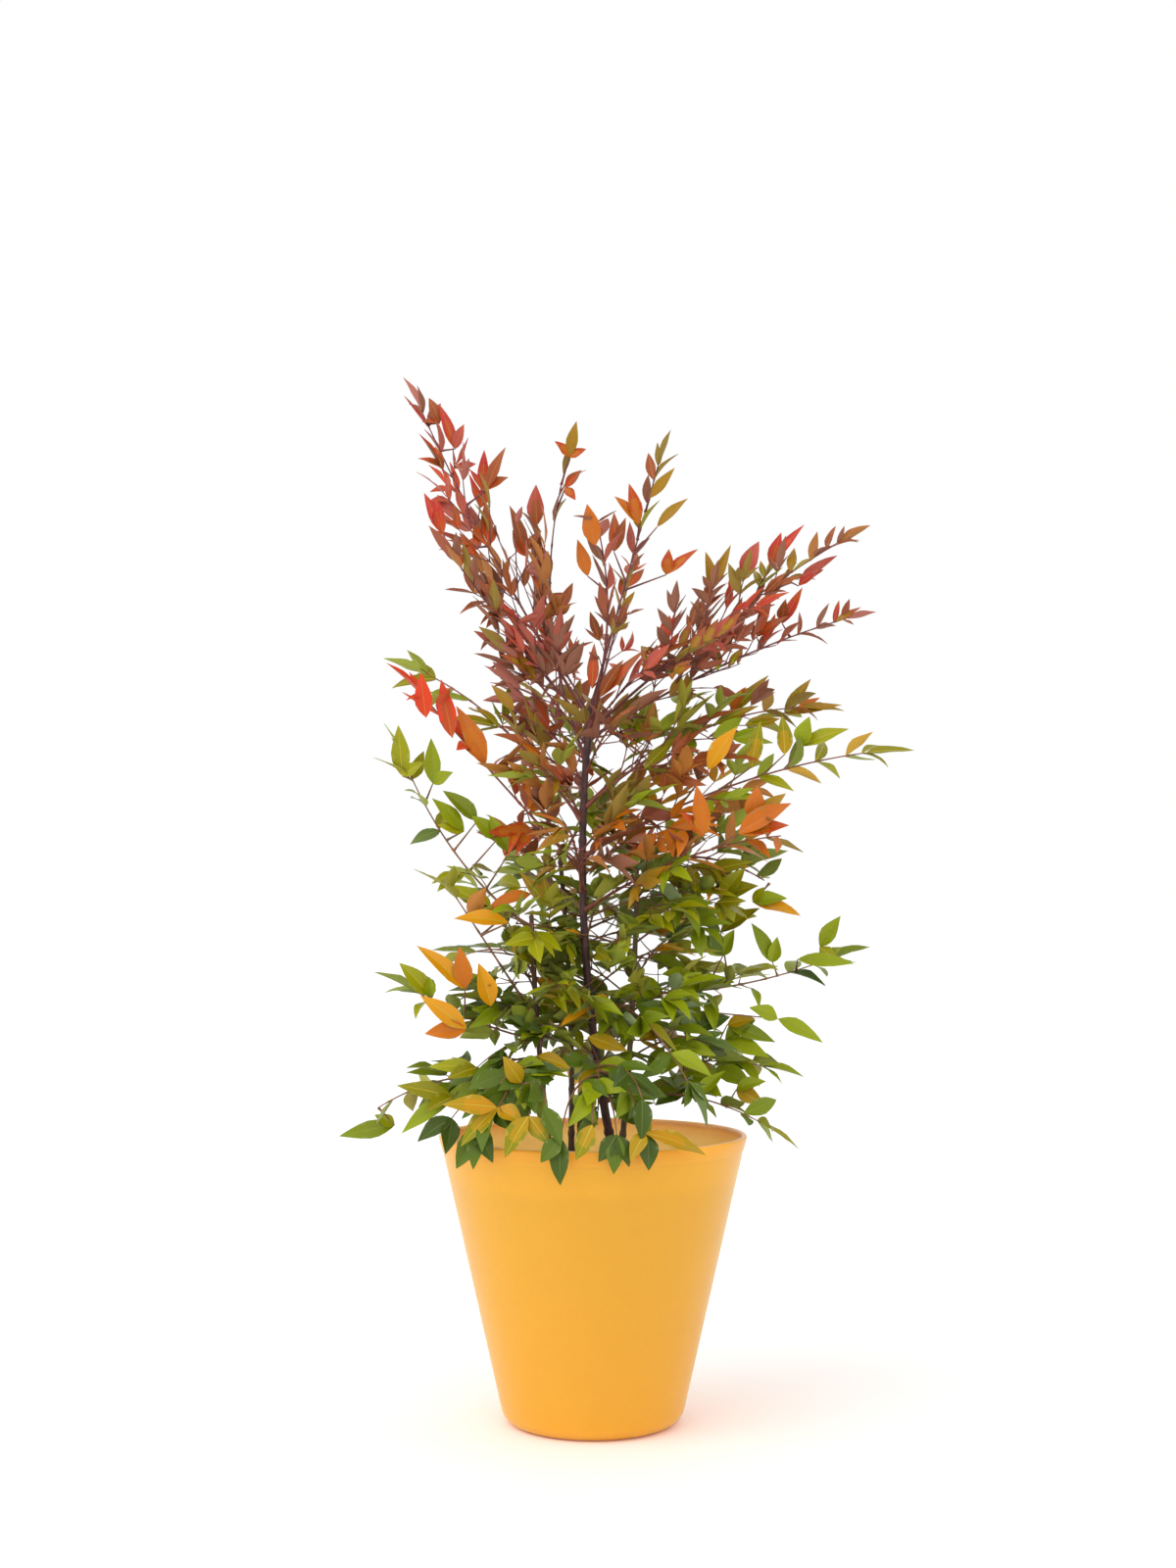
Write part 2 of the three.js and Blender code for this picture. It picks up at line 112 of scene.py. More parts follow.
# Canes: foot and top in the plan, height of the top, bend at mid height, thickness, as in the frame.
CANES = {
    "main": {"foot": (0.024, 0), "top": (-0.002, 0, 0.692), "bend": -0.019, "radius": 0.0044},
    "right": {"foot": (0.026, 0.025), "top": (0.044, 0.025, 0.546), "bend": 0.004, "radius": 0.0031},
    "left": {"foot": (-0.039, -0.015), "top": (-0.060, -0.015, 0.487), "bend": -0.003, "radius": 0.0031},
    "back": {"foot": (-0.022, 0.046), "top": (-0.034, 0.074, 0.552), "bend": 0.005, "radius": 0.0031},
}
CANE_TAPER = 0.72
CANE_FLARE = 0.7
CANE_FLARE_HEIGHT = 0.009
CANE_CAP = 0.0015
CANE_STEP = 0.0025
CANE_SIDES = 22
CANE_JOINT_SPACING = (0.026, 0.044)
# Relief of the bark: scale round and along the cane and depth of the furrows, then a ring at each joint and a
# notch above it. Depths are shares of the radius.
CANE_FURROWS = ((3, 60, 0.09), (7, 240, 0.05))
CANE_RING = 0.22
CANE_RING_LENGTH = 0.0022
CANE_NOTCH = 0.07
CANE_NOTCH_LENGTH = 0.0016
CANE_NOTCH_ABOVE = 0.004
NOISE_OFFSET = 100  # each cane cuts its furrows from another part of the noise, up to this far off

# Stalks and twigs.
STALK_RADIUS = 0.0017
STALK_END_RADIUS = 0.0012
STALK_SIDES = 8
STALK_STEP = 0.003
RACHIS_END_RADIUS = 0.0006
TWIG_RADIUS = 0.0007
TWIG_END_RADIUS = 0.00045
SHEATH_RADIUS = 0.0034
SHEATH_LENGTH = 0.011
JOINT_SWELL = 0.55
JOINT_LENGTH = 0.0022
TUBE_STEP = 0.006
TUBE_SIDES = 6
LENGTH_STEP = 0.01

# Leaflets: a thin closed blade with a groove along its midrib, widest below the middle. Side leaflets are
# rolled towards each other, so that a pair stands in a V.
LEAF_WIDEST = 0.42
LEAF_ROOT_POWER = 0.85
LEAF_POINT = 0.35  # how much the outer part is drawn in towards a long point
LEAF_WIDTH_VARIATION = (0.88, 1.12)
LEAF_THICKNESS = 0.0005
LEAF_KEEL = 0.0004
LEAF_CREST = 0.55  # share of the way from midrib to edge at which the upper side has a point
LEAF_BELLY = 0.5  # the same for the underside
RIB_WIDTH = 0.00085
RIB_TAPER = 1.2
LEAF_STATIONS = (0.06, 0.17, 0.31, 0.46, 0.61, 0.75, 0.87, 0.95)
SAMPLED_STATIONS = (4, 6, 9)
LEAF_EDGE_FROM = 0.3
LEAF_TIP_FROM = 0.55
LEAF_SPREAD = (0.5, 0.9)
LEAF_ROLL = (-0.9, 0.9)
PAIR_ROLL = (-0.1, 1.1)
LEAF_LIFT = (-0.1, 1.4)
LEAF_SCALE = (0.82, 1.08)
LEAF_FOLD = (0.08, 0.5)
LEAF_WAVE = 0.09
LEAF_WAVES = 1.6
LAST_LEAF_CURL = 0.2

# Side twigs: partners stand nearly opposite.
STAGGER = 0.0015
FIRST_PAIR = 0.3
TWIG_LIFT = (0.2, 0.9)
TWIG_VARIATION = (0.8, 1.2)
TWIG_BOW = 0.06
TWIG_FADE = 0.5  # the twigs' length would reach zero at their number of pairs plus this
TWIG_CHECKS = (0.25, 0.5, 0.75, 1)
TWIG_END_ROOM = 0.35  # of the distance between pairs, kept free at a twig's end
TRIO_SETBACK = 0.004
FORKED_SPAN = 0.062
FORK_SHARE = 0.3
LEAF_CLEARANCE = 0.005
LIMB_CLEARANCE = 0.003
TRIES = (0, 0.3, -0.3, 0.6, -0.6)

FIRST_SEED = 1001
PLACED_SEED_STEP = 1000
INNER_SEED_STEP = 100

# Levels of the crown. leaf and width: a leaflet's length, and its width as a share of that. side: how long
# the side leaflets of a three are, as a share of the last one. curl: how far a leaflet bends down towards its
# tip. pairs and twigs: pairs along the rachis, and how many of them are side twigs. reach: length of the
# lowest side twig as a share of the compound leaf. spacing: distance between pairs on a side twig. spread:
# angle of the side twigs to the rachis. twist: how far pairs are turned about the rachis by turns. lift: how
# far all growth is lifted (or hangs). bare and first: where the stalk ends, and where the first pair may
# stand.
LEVELS = {
    "top": {"leaf": 0.040, "width": 0.30, "side": (0.55, 0.8), "curl": (-0.2, 0.7), "pairs": 10, "twigs": 5,
            "reach": 0.17, "spacing": 0.021, "spread": 0.7, "twist": 0.75, "lift": 0.42, "bare": 0.3,
            "first": 0.17, "slot": "leaves_top", "twig": "wine"},
    "middle": {"leaf": 0.047, "width": 0.30, "side": (0.6, 0.85), "curl": (-0.3, 0.9), "pairs": 8, "twigs": 5,
               "reach": 0.23, "spacing": 0.024, "spread": 0.9, "twist": 0.6, "lift": 0.12, "bare": 0.28,
               "first": 0.16, "slot": "leaves_middle", "twig": "russet"},
    "low": {"leaf": 0.045, "width": 0.37, "side": (0.65, 0.95), "curl": (-0.1, 0.9), "pairs": 6, "twigs": 4,
            "reach": 0.23, "spacing": 0.028, "spread": 1.0, "twist": 0.45, "lift": 0.0, "bare": 0.22,
            "first": 0.2, "slot": "leaves_low", "twig": "olive"},
    "foot": {"leaf": 0.045, "width": 0.42, "side": (0.65, 0.95), "curl": (0.0, 1.0), "pairs": 6, "twigs": 4,
             "reach": 0.26, "spacing": 0.028, "spread": 1.0, "twist": 0.4, "lift": -0.25, "bare": 0.14,
             "first": 0.2, "slot": "leaves_low", "twig": "olive"},
}
LEVEL_WITHOUT_BOUGHS = "foot"

# How full a compound leaf's side twigs are, where that differs from its level's rule.
FULLNESS = {
    "crown_left_high": 1.5, "crown_left": 1.2, "crown_centre": 0.6, "crown_front": 0.5,
    "crown_right_high": 0.45, "crown_right": 1.35, "crown_right_low": 1.2, "crown_back": 0.6,
    "middle_left": 0.45, "middle_left_high": 0.3, "middle_right_high": 1.2, "middle_front": 0.55,
    "middle_right": 0.8, "middle_right_low": 0.6, "right_middle": 0.85, "right_high": 1.3,
    "right_base": 0.6, "right_low": 0.8, "left_high": 0.4, "left_middle": 0.3, "left_low": 0.3,
    "left_base": 0.75, "back_left": 0.4, "front_left": 0.5, "front_low": 0.5, "front_right": 0.3,
}

# Other changes to a level's rule for one compound leaf.
CHANGES = {
    "crown_centre": {"first": 0.3, "pairs": 7, "twigs": 3},
    "crown_front": {"first": 0.2, "pairs": 6, "twigs": 4, "leaf": 0.036},
    "crown_right_high": {"first": 0.25, "pairs": 7, "twigs": 3, "leaf": 0.036},
    "crown_right": {"first": 0.2, "leaf": 0.033, "spacing": 0.018, "pairs": 11, "twigs": 6},
    "crown_right_low": {"first": 0.2, "leaf": 0.033, "spacing": 0.018, "pairs": 11, "twigs": 6},
    "crown_back": {"first": 0.35, "pairs": 8, "leaf": 0.034},
    "middle_left": {"pairs": 5, "twigs": 4},
    "middle_left_high": {"first": 0.3, "pairs": 6},
    "left_low": {"pairs": 4, "lift": 0.15},
    "right_base": {"pairs": 5, "lift": 0.25},
    "right_low": {"lift": 0.1},
    "front_right": {"pairs": 3, "twigs": 2},
}

# Short inner leaves, which fill the middle of the crown. They stand round each cane at a golden angle. The
# levels are read from the top: above which height, which level's rule, the colouring, how steeply the leaf
# starts and its bow.
INNER_TURN = math.radians(137.5)
INNER_PLACE = (0.2, 0.8)
INNER_SHAPE = {"pairs": 4, "twigs": 3, "reach": 0.34, "first": 0.25}
INNER_LEVELS = [
    (0.64, "top", "crown", (0.5, 1.0), 0.01),
    (0.60, "middle", "bronze", (0.3, 0.7), 0.012),
    (0.50, "middle", "turning", (0.3, 0.7), 0.012),
    (0.36, "low", "green", (0.0, 0.5), 0.014),
    (0, "low", "deep", (-0.1, 0.3), 0.02),
]
INNER_LEAVES = {
    "main": {"count": 25, "low": 0.33, "high": 0.69, "turn": 60, "length": (0.11, 0.16),
             "slot": "leaves_middle"},
    "right": {"count": 12, "low": 0.34, "high": 0.51, "turn": -30, "length": (0.10, 0.15),
              "slot": "leaves_low"},
    "left": {"count": 8, "low": 0.34, "high": 0.47, "turn": -80, "length": (0.06, 0.09),
             "slot": "leaves_low"},
    "back": {"count": 4, "low": 0.34, "high": 0.53, "turn": 90, "length": (0.10, 0.16),
             "slot": "leaves_low"},
}

# Gaps where the sky shows through the crown, as seen from the camera in the plane y = 0: centre across,
# height and radius, in millimetres. Grown leaflets stay out of them, and out of the view of the main cane
# between two heights. The compound leaf at the back, which they would leave bare, grows freely.
GROWS_FREELY = "crown_back"
CAMERA_PLACE = (-0.0048, -1.931, 0.489)
CANE_VIEW = (0.42, 0.66)
CANE_VIEW_HALF = 0.008
SKY_GAPS = [metres(gap) for gap in (
    (-88, 895, 14), (-82, 863, 11), (-71, 797, 11), (-34, 859, 13), (-34, 816, 9), (3, 898, 14),
    (42, 823, 12), (28, 796, 9), (13, 753, 9), (160, 741, 10), (132, 723, 9), (180, 751, 8),
    (99, 828, 8), (-38, 924, 11), (-149, 733, 11), (-115, 717, 12), (-90, 658, 12), (17, 648, 14),
    (111, 658, 8), (73, 684, 7), (-87, 595, 16), (-103, 615, 9), (-22, 583, 10), (-130, 547, 10),
    (-157, 535, 8), (-140, 491, 14), (-101, 470, 12), (-111, 441, 13), (-89, 446, 8), (-62, 426, 8),
    (-86, 422, 8), (10, 474, 14), (51, 457, 12), (111, 551, 12), (154, 520, 13), (178, 509, 10),
    (141, 403, 13), (178, 414, 12), (-32, 311, 14), (11, 300, 9), (-137, 354, 8), (-110, 349, 8),
    (64, 297, 8), (110, 717, 10), (40, 800, 9), (-7, 767, 8), (-28, 838, 8), (-227, 302, 14),
    (-101, 547, 10), (154, 515, 10), (-139, 823, 9), (7, 780, 9), (34, 753, 12), (55, 763, 8),
    (153, 723, 9), (-175, 686, 6), (-210, 630, 8), (-121, 632, 7), (-174, 576, 6), (188, 571, 10),
    (213, 568, 8), (142, 518, 8), (22, 421, 7), (64, 430, 7), (-83, 373, 7), (-211, 305, 10),
    (-198, 319, 8),
)]

# Sprays that stand out, with each leaflet placed by its tip. Their leaflets are about equally wide and show
# their faces to the front. A spray is: the compound leaf and the share of its length, or the cane and the
# height on it, where the twig starts; its end; the colouring; the tips of its leaflets; for an arched twig
# also the height that its arch aims at. Lengths are in millimetres.
PLACED_GROUPS = {
    "rim": {"level": "foot", "slot": "leaves_low", "width": 0.0185},
    "accents": {"level": "foot", "slot": "leaves_middle", "width": 0.0185},
    "tips": {"level": "top", "slot": "leaves_top", "width": 0.0125},
}
PLACED_WIDTH_SHARE = 0.55
PLACED_FACE = Vector((0, -0.85, 0.5))
PLACED_ROLL = (-0.35, 0.35)
PLACED_CURL = 0.45
PLACED_PAIRS = (0.3, 0.55)  # shares of an arched twig at which pairs of plain green leaflets stand
PLACED_INNER = "dusk"
ARCH_PUSH = 0.8
PLACED_SPRAYS = {
    "rim": [
        ("front_left", 0.60, (-87, -137, 313), "gold",
         [(-137, -143, 317), (-121, -135, 278), (-62, -150, 300)], 338),
        ("front_left", 0.50, (-58, -151, 307), "gold", [(-81, -150, 270), (-40, -157, 281)], 345),
        ("front_left", 0.45, (-66, -122, 334), "gold", [(-84, -130, 358)], 350),
        ("left", 350, (-133, -60, 315), "lime", [(-186, -66, 327), (-181, -74, 283), (-158, -85, 305)], 350),
        ("left", 370, (-110, -60, 343), "lime", [(-156, -66, 344), (-137, -80, 334)], 365),
        ("left", 335, (-132, -82, 298), "shade", [(-164, -92, 277), (-134, -102, 266)], 335),
        ("front_left", 0.55, (-105, -120, 294), "shade",
         [(-124, -115, 254), (-110, -130, 256), (-93, -136, 262)], 338),
        ("front_low", 0.55, (-29, -158, 288), "shade", [(-32, -160, 246), (-47, -160, 266)], 340),
        ("front_left", 0.65, (-45, -154, 316), "shade", [(-27, -162, 281)], 345),
        ("front_low", 0.60, (-1, -158, 300), "gold", [(-14, -163, 268)], 342),
        ("front_low", 0.65, (21, -158, 291), "shade",
         [(18, -162, 256), (34, -160, 263), (6, -162, 266)], 335),
        ("front_low", 0.50, (46, -154, 292), "gold", [(103, -134, 273), (25, -164, 273)], 340),
        ("front_low", 0.50, (49, -150, 290), "shade", [(50, -160, 259)], 335),
        ("front_low", 0.45, (44, -148, 322), "shade", [(44, -158, 285)], 355),
    ],
    "accents": [
        ("middle_left", 0.80, (-158, -85, 674), "flame", [(-164, -93, 716)]),
        ("middle_left", 0.68, (-134, -72, 656), "flame", [(-147, -80, 711)]),
        ("middle_left", 0.52, (-103, -58, 631), "copper", [(-131, -64, 688), (-128, -70, 654)]),
        ("left_high", 0.76, (-189, 10, 625), "fresh", [(-193, 4, 676), (-166, 4, 638)]),
        ("left_high", 0.66, (-158, 0, 617), "fresh", [(-158, -6, 662), (-137, -8, 627)]),
        ("left_low", 0.45, (-122, -55, 417), "golden", [(-167, -61, 460), (-127, -61, 458)]),
        ("left_low", 0.30, (-97, -58, 401), "golden", [(-108, -64, 443)]),
        ("left_low", 0.40, (-120, -64, 380), "golden", [(-165, -70, 410), (-159, -70, 373)]),
        ("left_low", 0.65, (-156, -42, 410), "fresh", [(-186, -50, 442), (-155, -52, 429)]),
        ("left_middle", 0.50, (-80, -70, 480), "golden", [(-132, -76, 485)]),
        ("middle_right", 0.30, (111, -45, 627), "golden", [(138, -51, 670)]),
        ("middle_right", 0.42, (153, -45, 630), "gold", [(160, -51, 675)]),
        ("middle_right", 0.55, (185, -45, 642), "gold", [(183, -51, 680)]),
        ("middle_right", 0.62, (201, -45, 650), "fresh", [(207, -51, 679), (247, -51, 667)]),
        ("middle_right_low", 0.40, (103, -95, 561), "copper", [(98, -101, 610), (82, -103, 585)]),
        ("middle_right_low", 0.60, (149, -105, 574), "copper", [(154, -111, 608), (180, -113, 600)]),
        ("middle_right_low", 0.55, (135, -112, 563), "copper", [(185, -118, 590), (182, -120, 570)]),
        ("right_high", 0.78, (159, 20, 500), "green", [(193, 14, 504), (207, 12, 489), (169, 14, 516)]),
        ("right_high", 0.60, (128, 18, 506), "green", [(164, 10, 517), (140, 10, 480), (152, 8, 533)]),
        ("right_middle", 0.78, (229, 50, 455), "fresh", [(249, 44, 487), (245, 40, 440)]),
        ("right_middle", 0.68, (205, 40, 443), "dusk", [(262, 34, 438)]),
        ("right", 398, (181, 0, 386), "fresh", [(225, -6, 363), (152, -6, 397)]),
        ("crown_right", 0.38, (147, -30, 818), "ember", [(163, -36, 852)]),
        ("crown_front", 0.66, (2, -85, 838), "copper", [(-8, -91, 877)]),
        ("crown_centre", 0.55, (-56, 30, 881), "ember", [(-60, 22, 921)]),
        ("left_high", 0.45, (-114, 0, 580), "fresh", [(-148, -6, 610)]),
        ("left_high", 0.25, (-82, 0, 549), "fresh", [(-104, -6, 585)]),
        ("left_high", 0.50, (-127, 0, 570), "fresh", [(-158, -6, 603), (-153, -6, 575)]),
        ("left_high", 0.35, (-94, 0, 562), "fresh", [(-120, -6, 585)]),
        ("right_middle", 0.40, (128, 40, 470), "deep", [(167, 34, 496), (93, 34, 496)]),
        ("right_middle", 0.60, (180, 40, 440), "deep", [(185, 34, 466), (160, 34, 481)]),
        ("right_middle", 0.30, (129, 20, 447), "deep", [(98, 14, 469), (114, 14, 475), (139, 14, 474)]),
        ("left_middle", 0.50, (-60, -40, 508), "copper", [(-104, -46, 493)]),
        ("right_low", 0.45, (133, 20, 379), "deep", [(161, 14, 385), (180, 14, 360)]),
        ("right_low", 0.30, (92, 20, 319), "deep", [(48, 14, 316), (61, 14, 300)]),
        ("front_low", 0.20, (-5, -60, 372), "deep", [(33, -66, 358)]),
        ("right_low", 0.55, (131, 20, 365), "deep", [(165, 14, 375), (179, 14, 361)]),
        ("right_base", 0.62, (140, 0, 317), "deep", [(169, -6, 327), (165, -6, 303)]),
        ("left_base", 0.80, (-196, 25, 280), "fresh", [(-250, 19, 266), (-216, 19, 290)]),
    ],
    "tips": [
        ("crown_centre", 0.86, (-24, 70, 960), "bronze", [(-17, 64, 997), (-39, 64, 976), (-6, 64, 966)]),
        ("crown_centre", 0.78, (-28, 60, 926), "bronze", [(-10, 54, 942), (-18, 54, 911)]),
        ("crown_right_high", 0.70, (57, 0, 902), "bronze", [(84, -6, 930)]),
        ("crown_right_high", 0.55, (64, 0, 873), "bronze", [(95, -6, 901)]),
        ("crown_right_high", 0.45, (21, 0, 848), "crown", [(35, -6, 881), (23, -6, 887)]),
        ("crown_right_high", 0.42, (73, 0, 825), "bronze", [(105, -6, 850), (76, -6, 850)]),
        ("crown_left_high", 0.62, (-106, 15, 914), "bronze", [(-89, 9, 957), (-84, 9, 925)]),
        ("crown_left_high", 0.78, (-139, 22, 957), "ember", [(-155, 16, 1002), (-129, 16, 981)]),
        ("crown_left_high", 0.86, (-155, 25, 984), "crown", [(-166, 19, 1009), (-173, 19, 984)]),
        ("middle_right_high", 0.20, (61, 10, 668), "tawny", [(100, 4, 693)]),
        ("middle_right_high", 0.30, (95, 15, 674), "tawny", [(143, 9, 693)]),
        ("middle_right_high", 0.42, (121, 20, 677), "tawny", [(167, 14, 694)]),
        ("crown_centre", 0.45, (-67, 20, 847), "crown", [(-82, 14, 899), (-73, 14, 876)]),
        ("crown_right", 0.40, (118, -10, 808), "bronze", [(113, -16, 846), (138, -16, 852)]),
        ("crown_front", 0.20, (-1, -30, 708), "crown", [(2, -36, 752)]),
        ("main", 640, (-77, -30, 687), "tawny", [(-100, -36, 710)]),
        ("main", 620, (-62, -30, 651), "tawny", [(-97, -36, 664)]),
        ("crown_right_high", 0.60, (46, 0, 876), "copper", [(35, -6, 916), (21, -6, 903)]),
        ("crown_right", 0.60, (174, -30, 828), "ember", [(206, -36, 870), (184, -36, 861)]),
        ("crown_right", 0.70, (200, -40, 807), "ember", [(224, -46, 823), (245, -46, 827)]),
        ("crown_right_low", 0.70, (192, 40, 782), "crown", [(215, 34, 817), (201, 34, 805)]),
        ("crown_right_low", 0.60, (165, 30, 767), "crown", [(197, 24, 788), (183, 24, 816)]),
        ("main", 676, (7, -30, 699), "crown", [(51, -36, 746), (30, -36, 736)]),
        ("crown_front", 0.55, (-5, -60, 813), "copper", [(-16, -66, 848)]),
        ("crown_left", 0.85, (-146, -40, 858), "ember", [(-167, -46, 897), (-155, -46, 894)]),
        ("crown_left_high", 0.50, (-123, 20, 855), "ember", [(-159, 14, 874)]),
        ("main", 485, (-43, -40, 496), "tawny", [(-74, -46, 528), (-49, -46, 526)]),
        ("middle_right_high", 0.72, (194, 45, 691), "tawny", [(222, 39, 725), (253, 39, 696)]),
        ("middle_right_high", 0.50, (140, 30, 690), "tawny", [(179, 24, 726), (152, 24, 717)]),
    ],
}

# Compound leaves by level: name, cane, height on the cane, tip of the last leaflet, bow at mid length, and
# the colouring of the inner and of the outer sprays. Lengths are in millimetres.
COMPOUND_LEAVES = {
    "top": [
        ("crown_left_high", "main", 680, (-189, 30, 1033), (-9, 0, 0), "crown", "ember"),
        ("crown_left", "main", 675, (-158, -75, 864), (0, 0, -8), "ember", "crown"),
        ("crown_centre", "main", 640, (-20, 80, 981), (-30, 24, 0), "crown", "bronze"),
        ("crown_front", "main", 671, (-8, -105, 892), (20, 0, 6), "crown", "ember"),
        ("crown_right_high", "main", 690, (76, 15, 976), (0, 0, 0), "crown", "bronze"),
        ("crown_right", "main", 667, (266, -55, 864), (0, 0, 12), "crown", "bronze"),
        ("crown_right_low", "main", 660, (288, 60, 798), (0, 0, 14), "bronze", "crown"),
        ("crown_back", "main", 653, (50, 180, 880), (0, 0, 10), "crown", "bronze"),
    ],
    "middle": [
        ("middle_left", "main", 529, (-192, -95, 728), (0, 0, 0), "turning", "flame"),
        ("middle_left_high", "main", 578, (-204, 45, 744), (0, 0, 28), "tawny", "green"),
        ("middle_right_high", "main", 592, (252, 45, 694), (0, 0, 34), "tawny", "tawny"),
        ("middle_right", "main", 544, (308, -45, 648), (0, 0, 22), "amber", "green"),
        ("middle_right_low", "main", 491, (214, -125, 562), (0, 0, 20), "turning", "copper"),
        ("middle_front", "main", 510, (-30, -205, 560), (0, 0, 26), "turning", "copper"),
        ("middle_back", "main", 606, (-70, 205, 735), (0, 0, 20), "turning", "bronze"),
        ("right_high", "right", 534, (214, 35, 488), (0, 0, 30), "green", "green"),
        ("back_high", "back", 540, (40, 235, 600), (0, 0, 30), "green", "turning"),
    ],
    "low": [
        ("right_middle", "right", 410, (284, 75, 461), (0, 0, -15), "green", "dusk"),
        ("right_base", "main", 306, (200, -62, 264), (0, 0, 26), "deep", "deep"),
        ("left_high", "left", 474, (-206, 25, 688), (-12, 0, -20), "green", "green"),
        ("left_middle", "left", 385, (-160, -85, 551), (0, 0, 0), "green", "lime"),
        ("left_base", "left", 322, (-252, 25, 268), (0, 0, 30), "deep", "fresh"),
        ("back_left", "back", 420, (-165, 185, 430), (0, 0, 26), "green", "amber"),
        ("back_right", "back", 460, (140, 210, 470), (0, 0, 26), "green", "green"),
    ],
    "foot": [
        ("right_low", "right", 334, (214, 50, 326), (0, 0, 12), "deep", "green"),
        ("left_low", "left", 366, (-211, -35, 440), (0, 0, -10), "green", "fresh"),
        ("front_left", "left", 340, (-104, -165, 264), (0, 0, 40), "deep", "shade"),
        ("front_low", "main", 330, (4, -160, 262), (0, 0, 46), "deep", "shade"),
        ("front_right", "main", 400, (110, -150, 285), (0, 0, 40), "deep", "deep"),
        ("back_low", "back", 340, (-20, 225, 292), (0, 0, 36), "deep", "green"),
    ],
}

# ---------------------------------------------------------------------------------------------------------
# Colours, as sRGB hexadecimal numbers.

# Tints of a leaflet: upper side, underside and which rib it has.
RIBS = {"warm": 0xB46830, "pale": 0xB8A430, "dark": 0x7C8A30, "dim": 0x5E6E2A}
TINTS = {
    "scarlet": (0xC83A18, 0xBC4C2C, "warm"),
    "crimson": (0xB03026, 0xA25444, "warm"),
    "rose": (0xAC4E40, 0xA86658, "warm"),
    "rust": (0xB04416, 0x96523A, "warm"),
    "umber": (0x964E28, 0x8C5A44, "warm"),
    "chestnut": (0x82421C, 0x845642, "warm"),
    "khaki": (0x967212, 0x8E7632, "warm"),
    "copper": (0xB66010, 0xA46A36, "warm"),
    "orange": (0xBA6606, 0xAC7030, "warm"),
    "amber": (0xCC8A06, 0xC49A38, "pale"),
    "honey": (0xB88208, 0xB49038, "pale"),
    "ochre": (0xA48206, 0xA48E34, "pale"),
    "lime": (0x909006, 0x98983A, "pale"),
    "olive": (0x827C04, 0x908C2C, "pale"),
    "leaf": (0x879208, 0x909836, "dark"),
    "fern": (0x727F0C, 0x7E8838, "dark"),
    "pine": (0x526610, 0x6A783C, "dim"),
    "bottle": (0x3E5010, 0x566432, "dim"),
    "sea": (0x62743A, 0x889868, "dark"),
}

# Colourings: how often a spray takes which tint, and the tint of its leaflets' edges and tips where that
# differs.
COLOURINGS = {
    "ember": [(4, "crimson", "rose"), (4, "rose"), (2, "scarlet", "crimson"), (2, "rust", "crimson"),
              (2, "umber", "rose"), (1, "chestnut", "rust")],
    "crown": [(4, "umber"), (4, "rust", "umber"), (2, "khaki", "umber"), (2, "rose"), (2, "chestnut"),
              (1, "copper", "rust"), (2, "crimson", "rust")],
    "bronze": [(2, "umber"), (5, "khaki"), (1, "chestnut", "umber"), (3, "rust", "umber"),
               (2, "copper", "rust"), (2, "olive", "khaki")],
    "tawny": [(5, "khaki"), (3, "olive", "khaki"), (2, "umber"), (2, "leaf"), (1, "copper")],
    "turning": [(3, "khaki"), (3, "orange", "copper"), (2, "rust", "umber"), (2, "copper", "rust"),
                (1, "umber"), (3, "leaf"), (1, "lime"), (1, "olive")],
    "flame": [(6, "scarlet"), (3, "rust", "scarlet"), (1, "rust")],
    "copper": [(4, "copper"), (3, "copper", "rust"), (3, "orange", "copper"), (2, "khaki")],
    "golden": [(6, "amber"), (2, "orange")],
    "amber": [(3, "amber"), (3, "orange"), (1, "copper"), (2, "lime"), (3, "leaf")],
    "gold": [(4, "honey", "ochre"), (4, "ochre", "olive"), (1, "ochre")],
    "fresh": [(3, "lime"), (3, "leaf"), (1, "fern")],
    "lime": [(3, "lime"), (3, "leaf"), (1, "olive"), (1, "orange", "copper")],
    "green": [(5, "leaf"), (3, "fern"), (3, "lime"), (2, "olive"), (1, "amber"), (1, "sea")],
    "deep": [(5, "fern"), (5, "leaf"), (2, "pine"), (1, "olive"), (1, "sea"), (1, "ochre"), (1, "bottle")],
    "dusk": [(3, "fern"), (3, "pine"), (1, "bottle"), (1, "leaf")],
    "shade": [(4, "bottle"), (3, "pine")],
}
TWIG_COLOURS = {"wine": (0x5A2A2A, 0x7B3A32), "russet": (0x6A3528, 0x8E4A35), "olive": (0x6E5230, 0x8A5A3C)}
CANE_COLOURS = {
    "main": (0x2E1B1D, 0x5B3833),
    "right": (0x57442C, 0x7C6442),
    "left": (0x4A3226, 0x6E4E38),
    "back": (0x4A3A2A, 0x6B563C),
}
POT_COLOURS = (0xFB9E22, 0xFC9F23)
# The inside of the planter takes a paler copy of the plastic: painted light, for the light that comes into
# the pot through its thin wall.
POT_INNER_PAINTED_LIGHT_COLOURS = (0xFEB488, 0xFFB58A)
SOIL_COLOURS = (0x1C120C, 0x4A3322)
CHIP_COLOURS = (0x4A2C1C, 0x8A5A3A)
FLOOR_COLOURS = (0xFBFBFA, 0xFDFDFC)

# The thin plastic lets light through: how much of it scatters outside and inside, how far each colour goes,
# and how deep.
POT_GLOW = 0.8
POT_INNER_GLOW = 1
POT_GLOW_RADIUS = (1.0, 0.8, 0.5)
POT_GLOW_DEPTH = 0.016

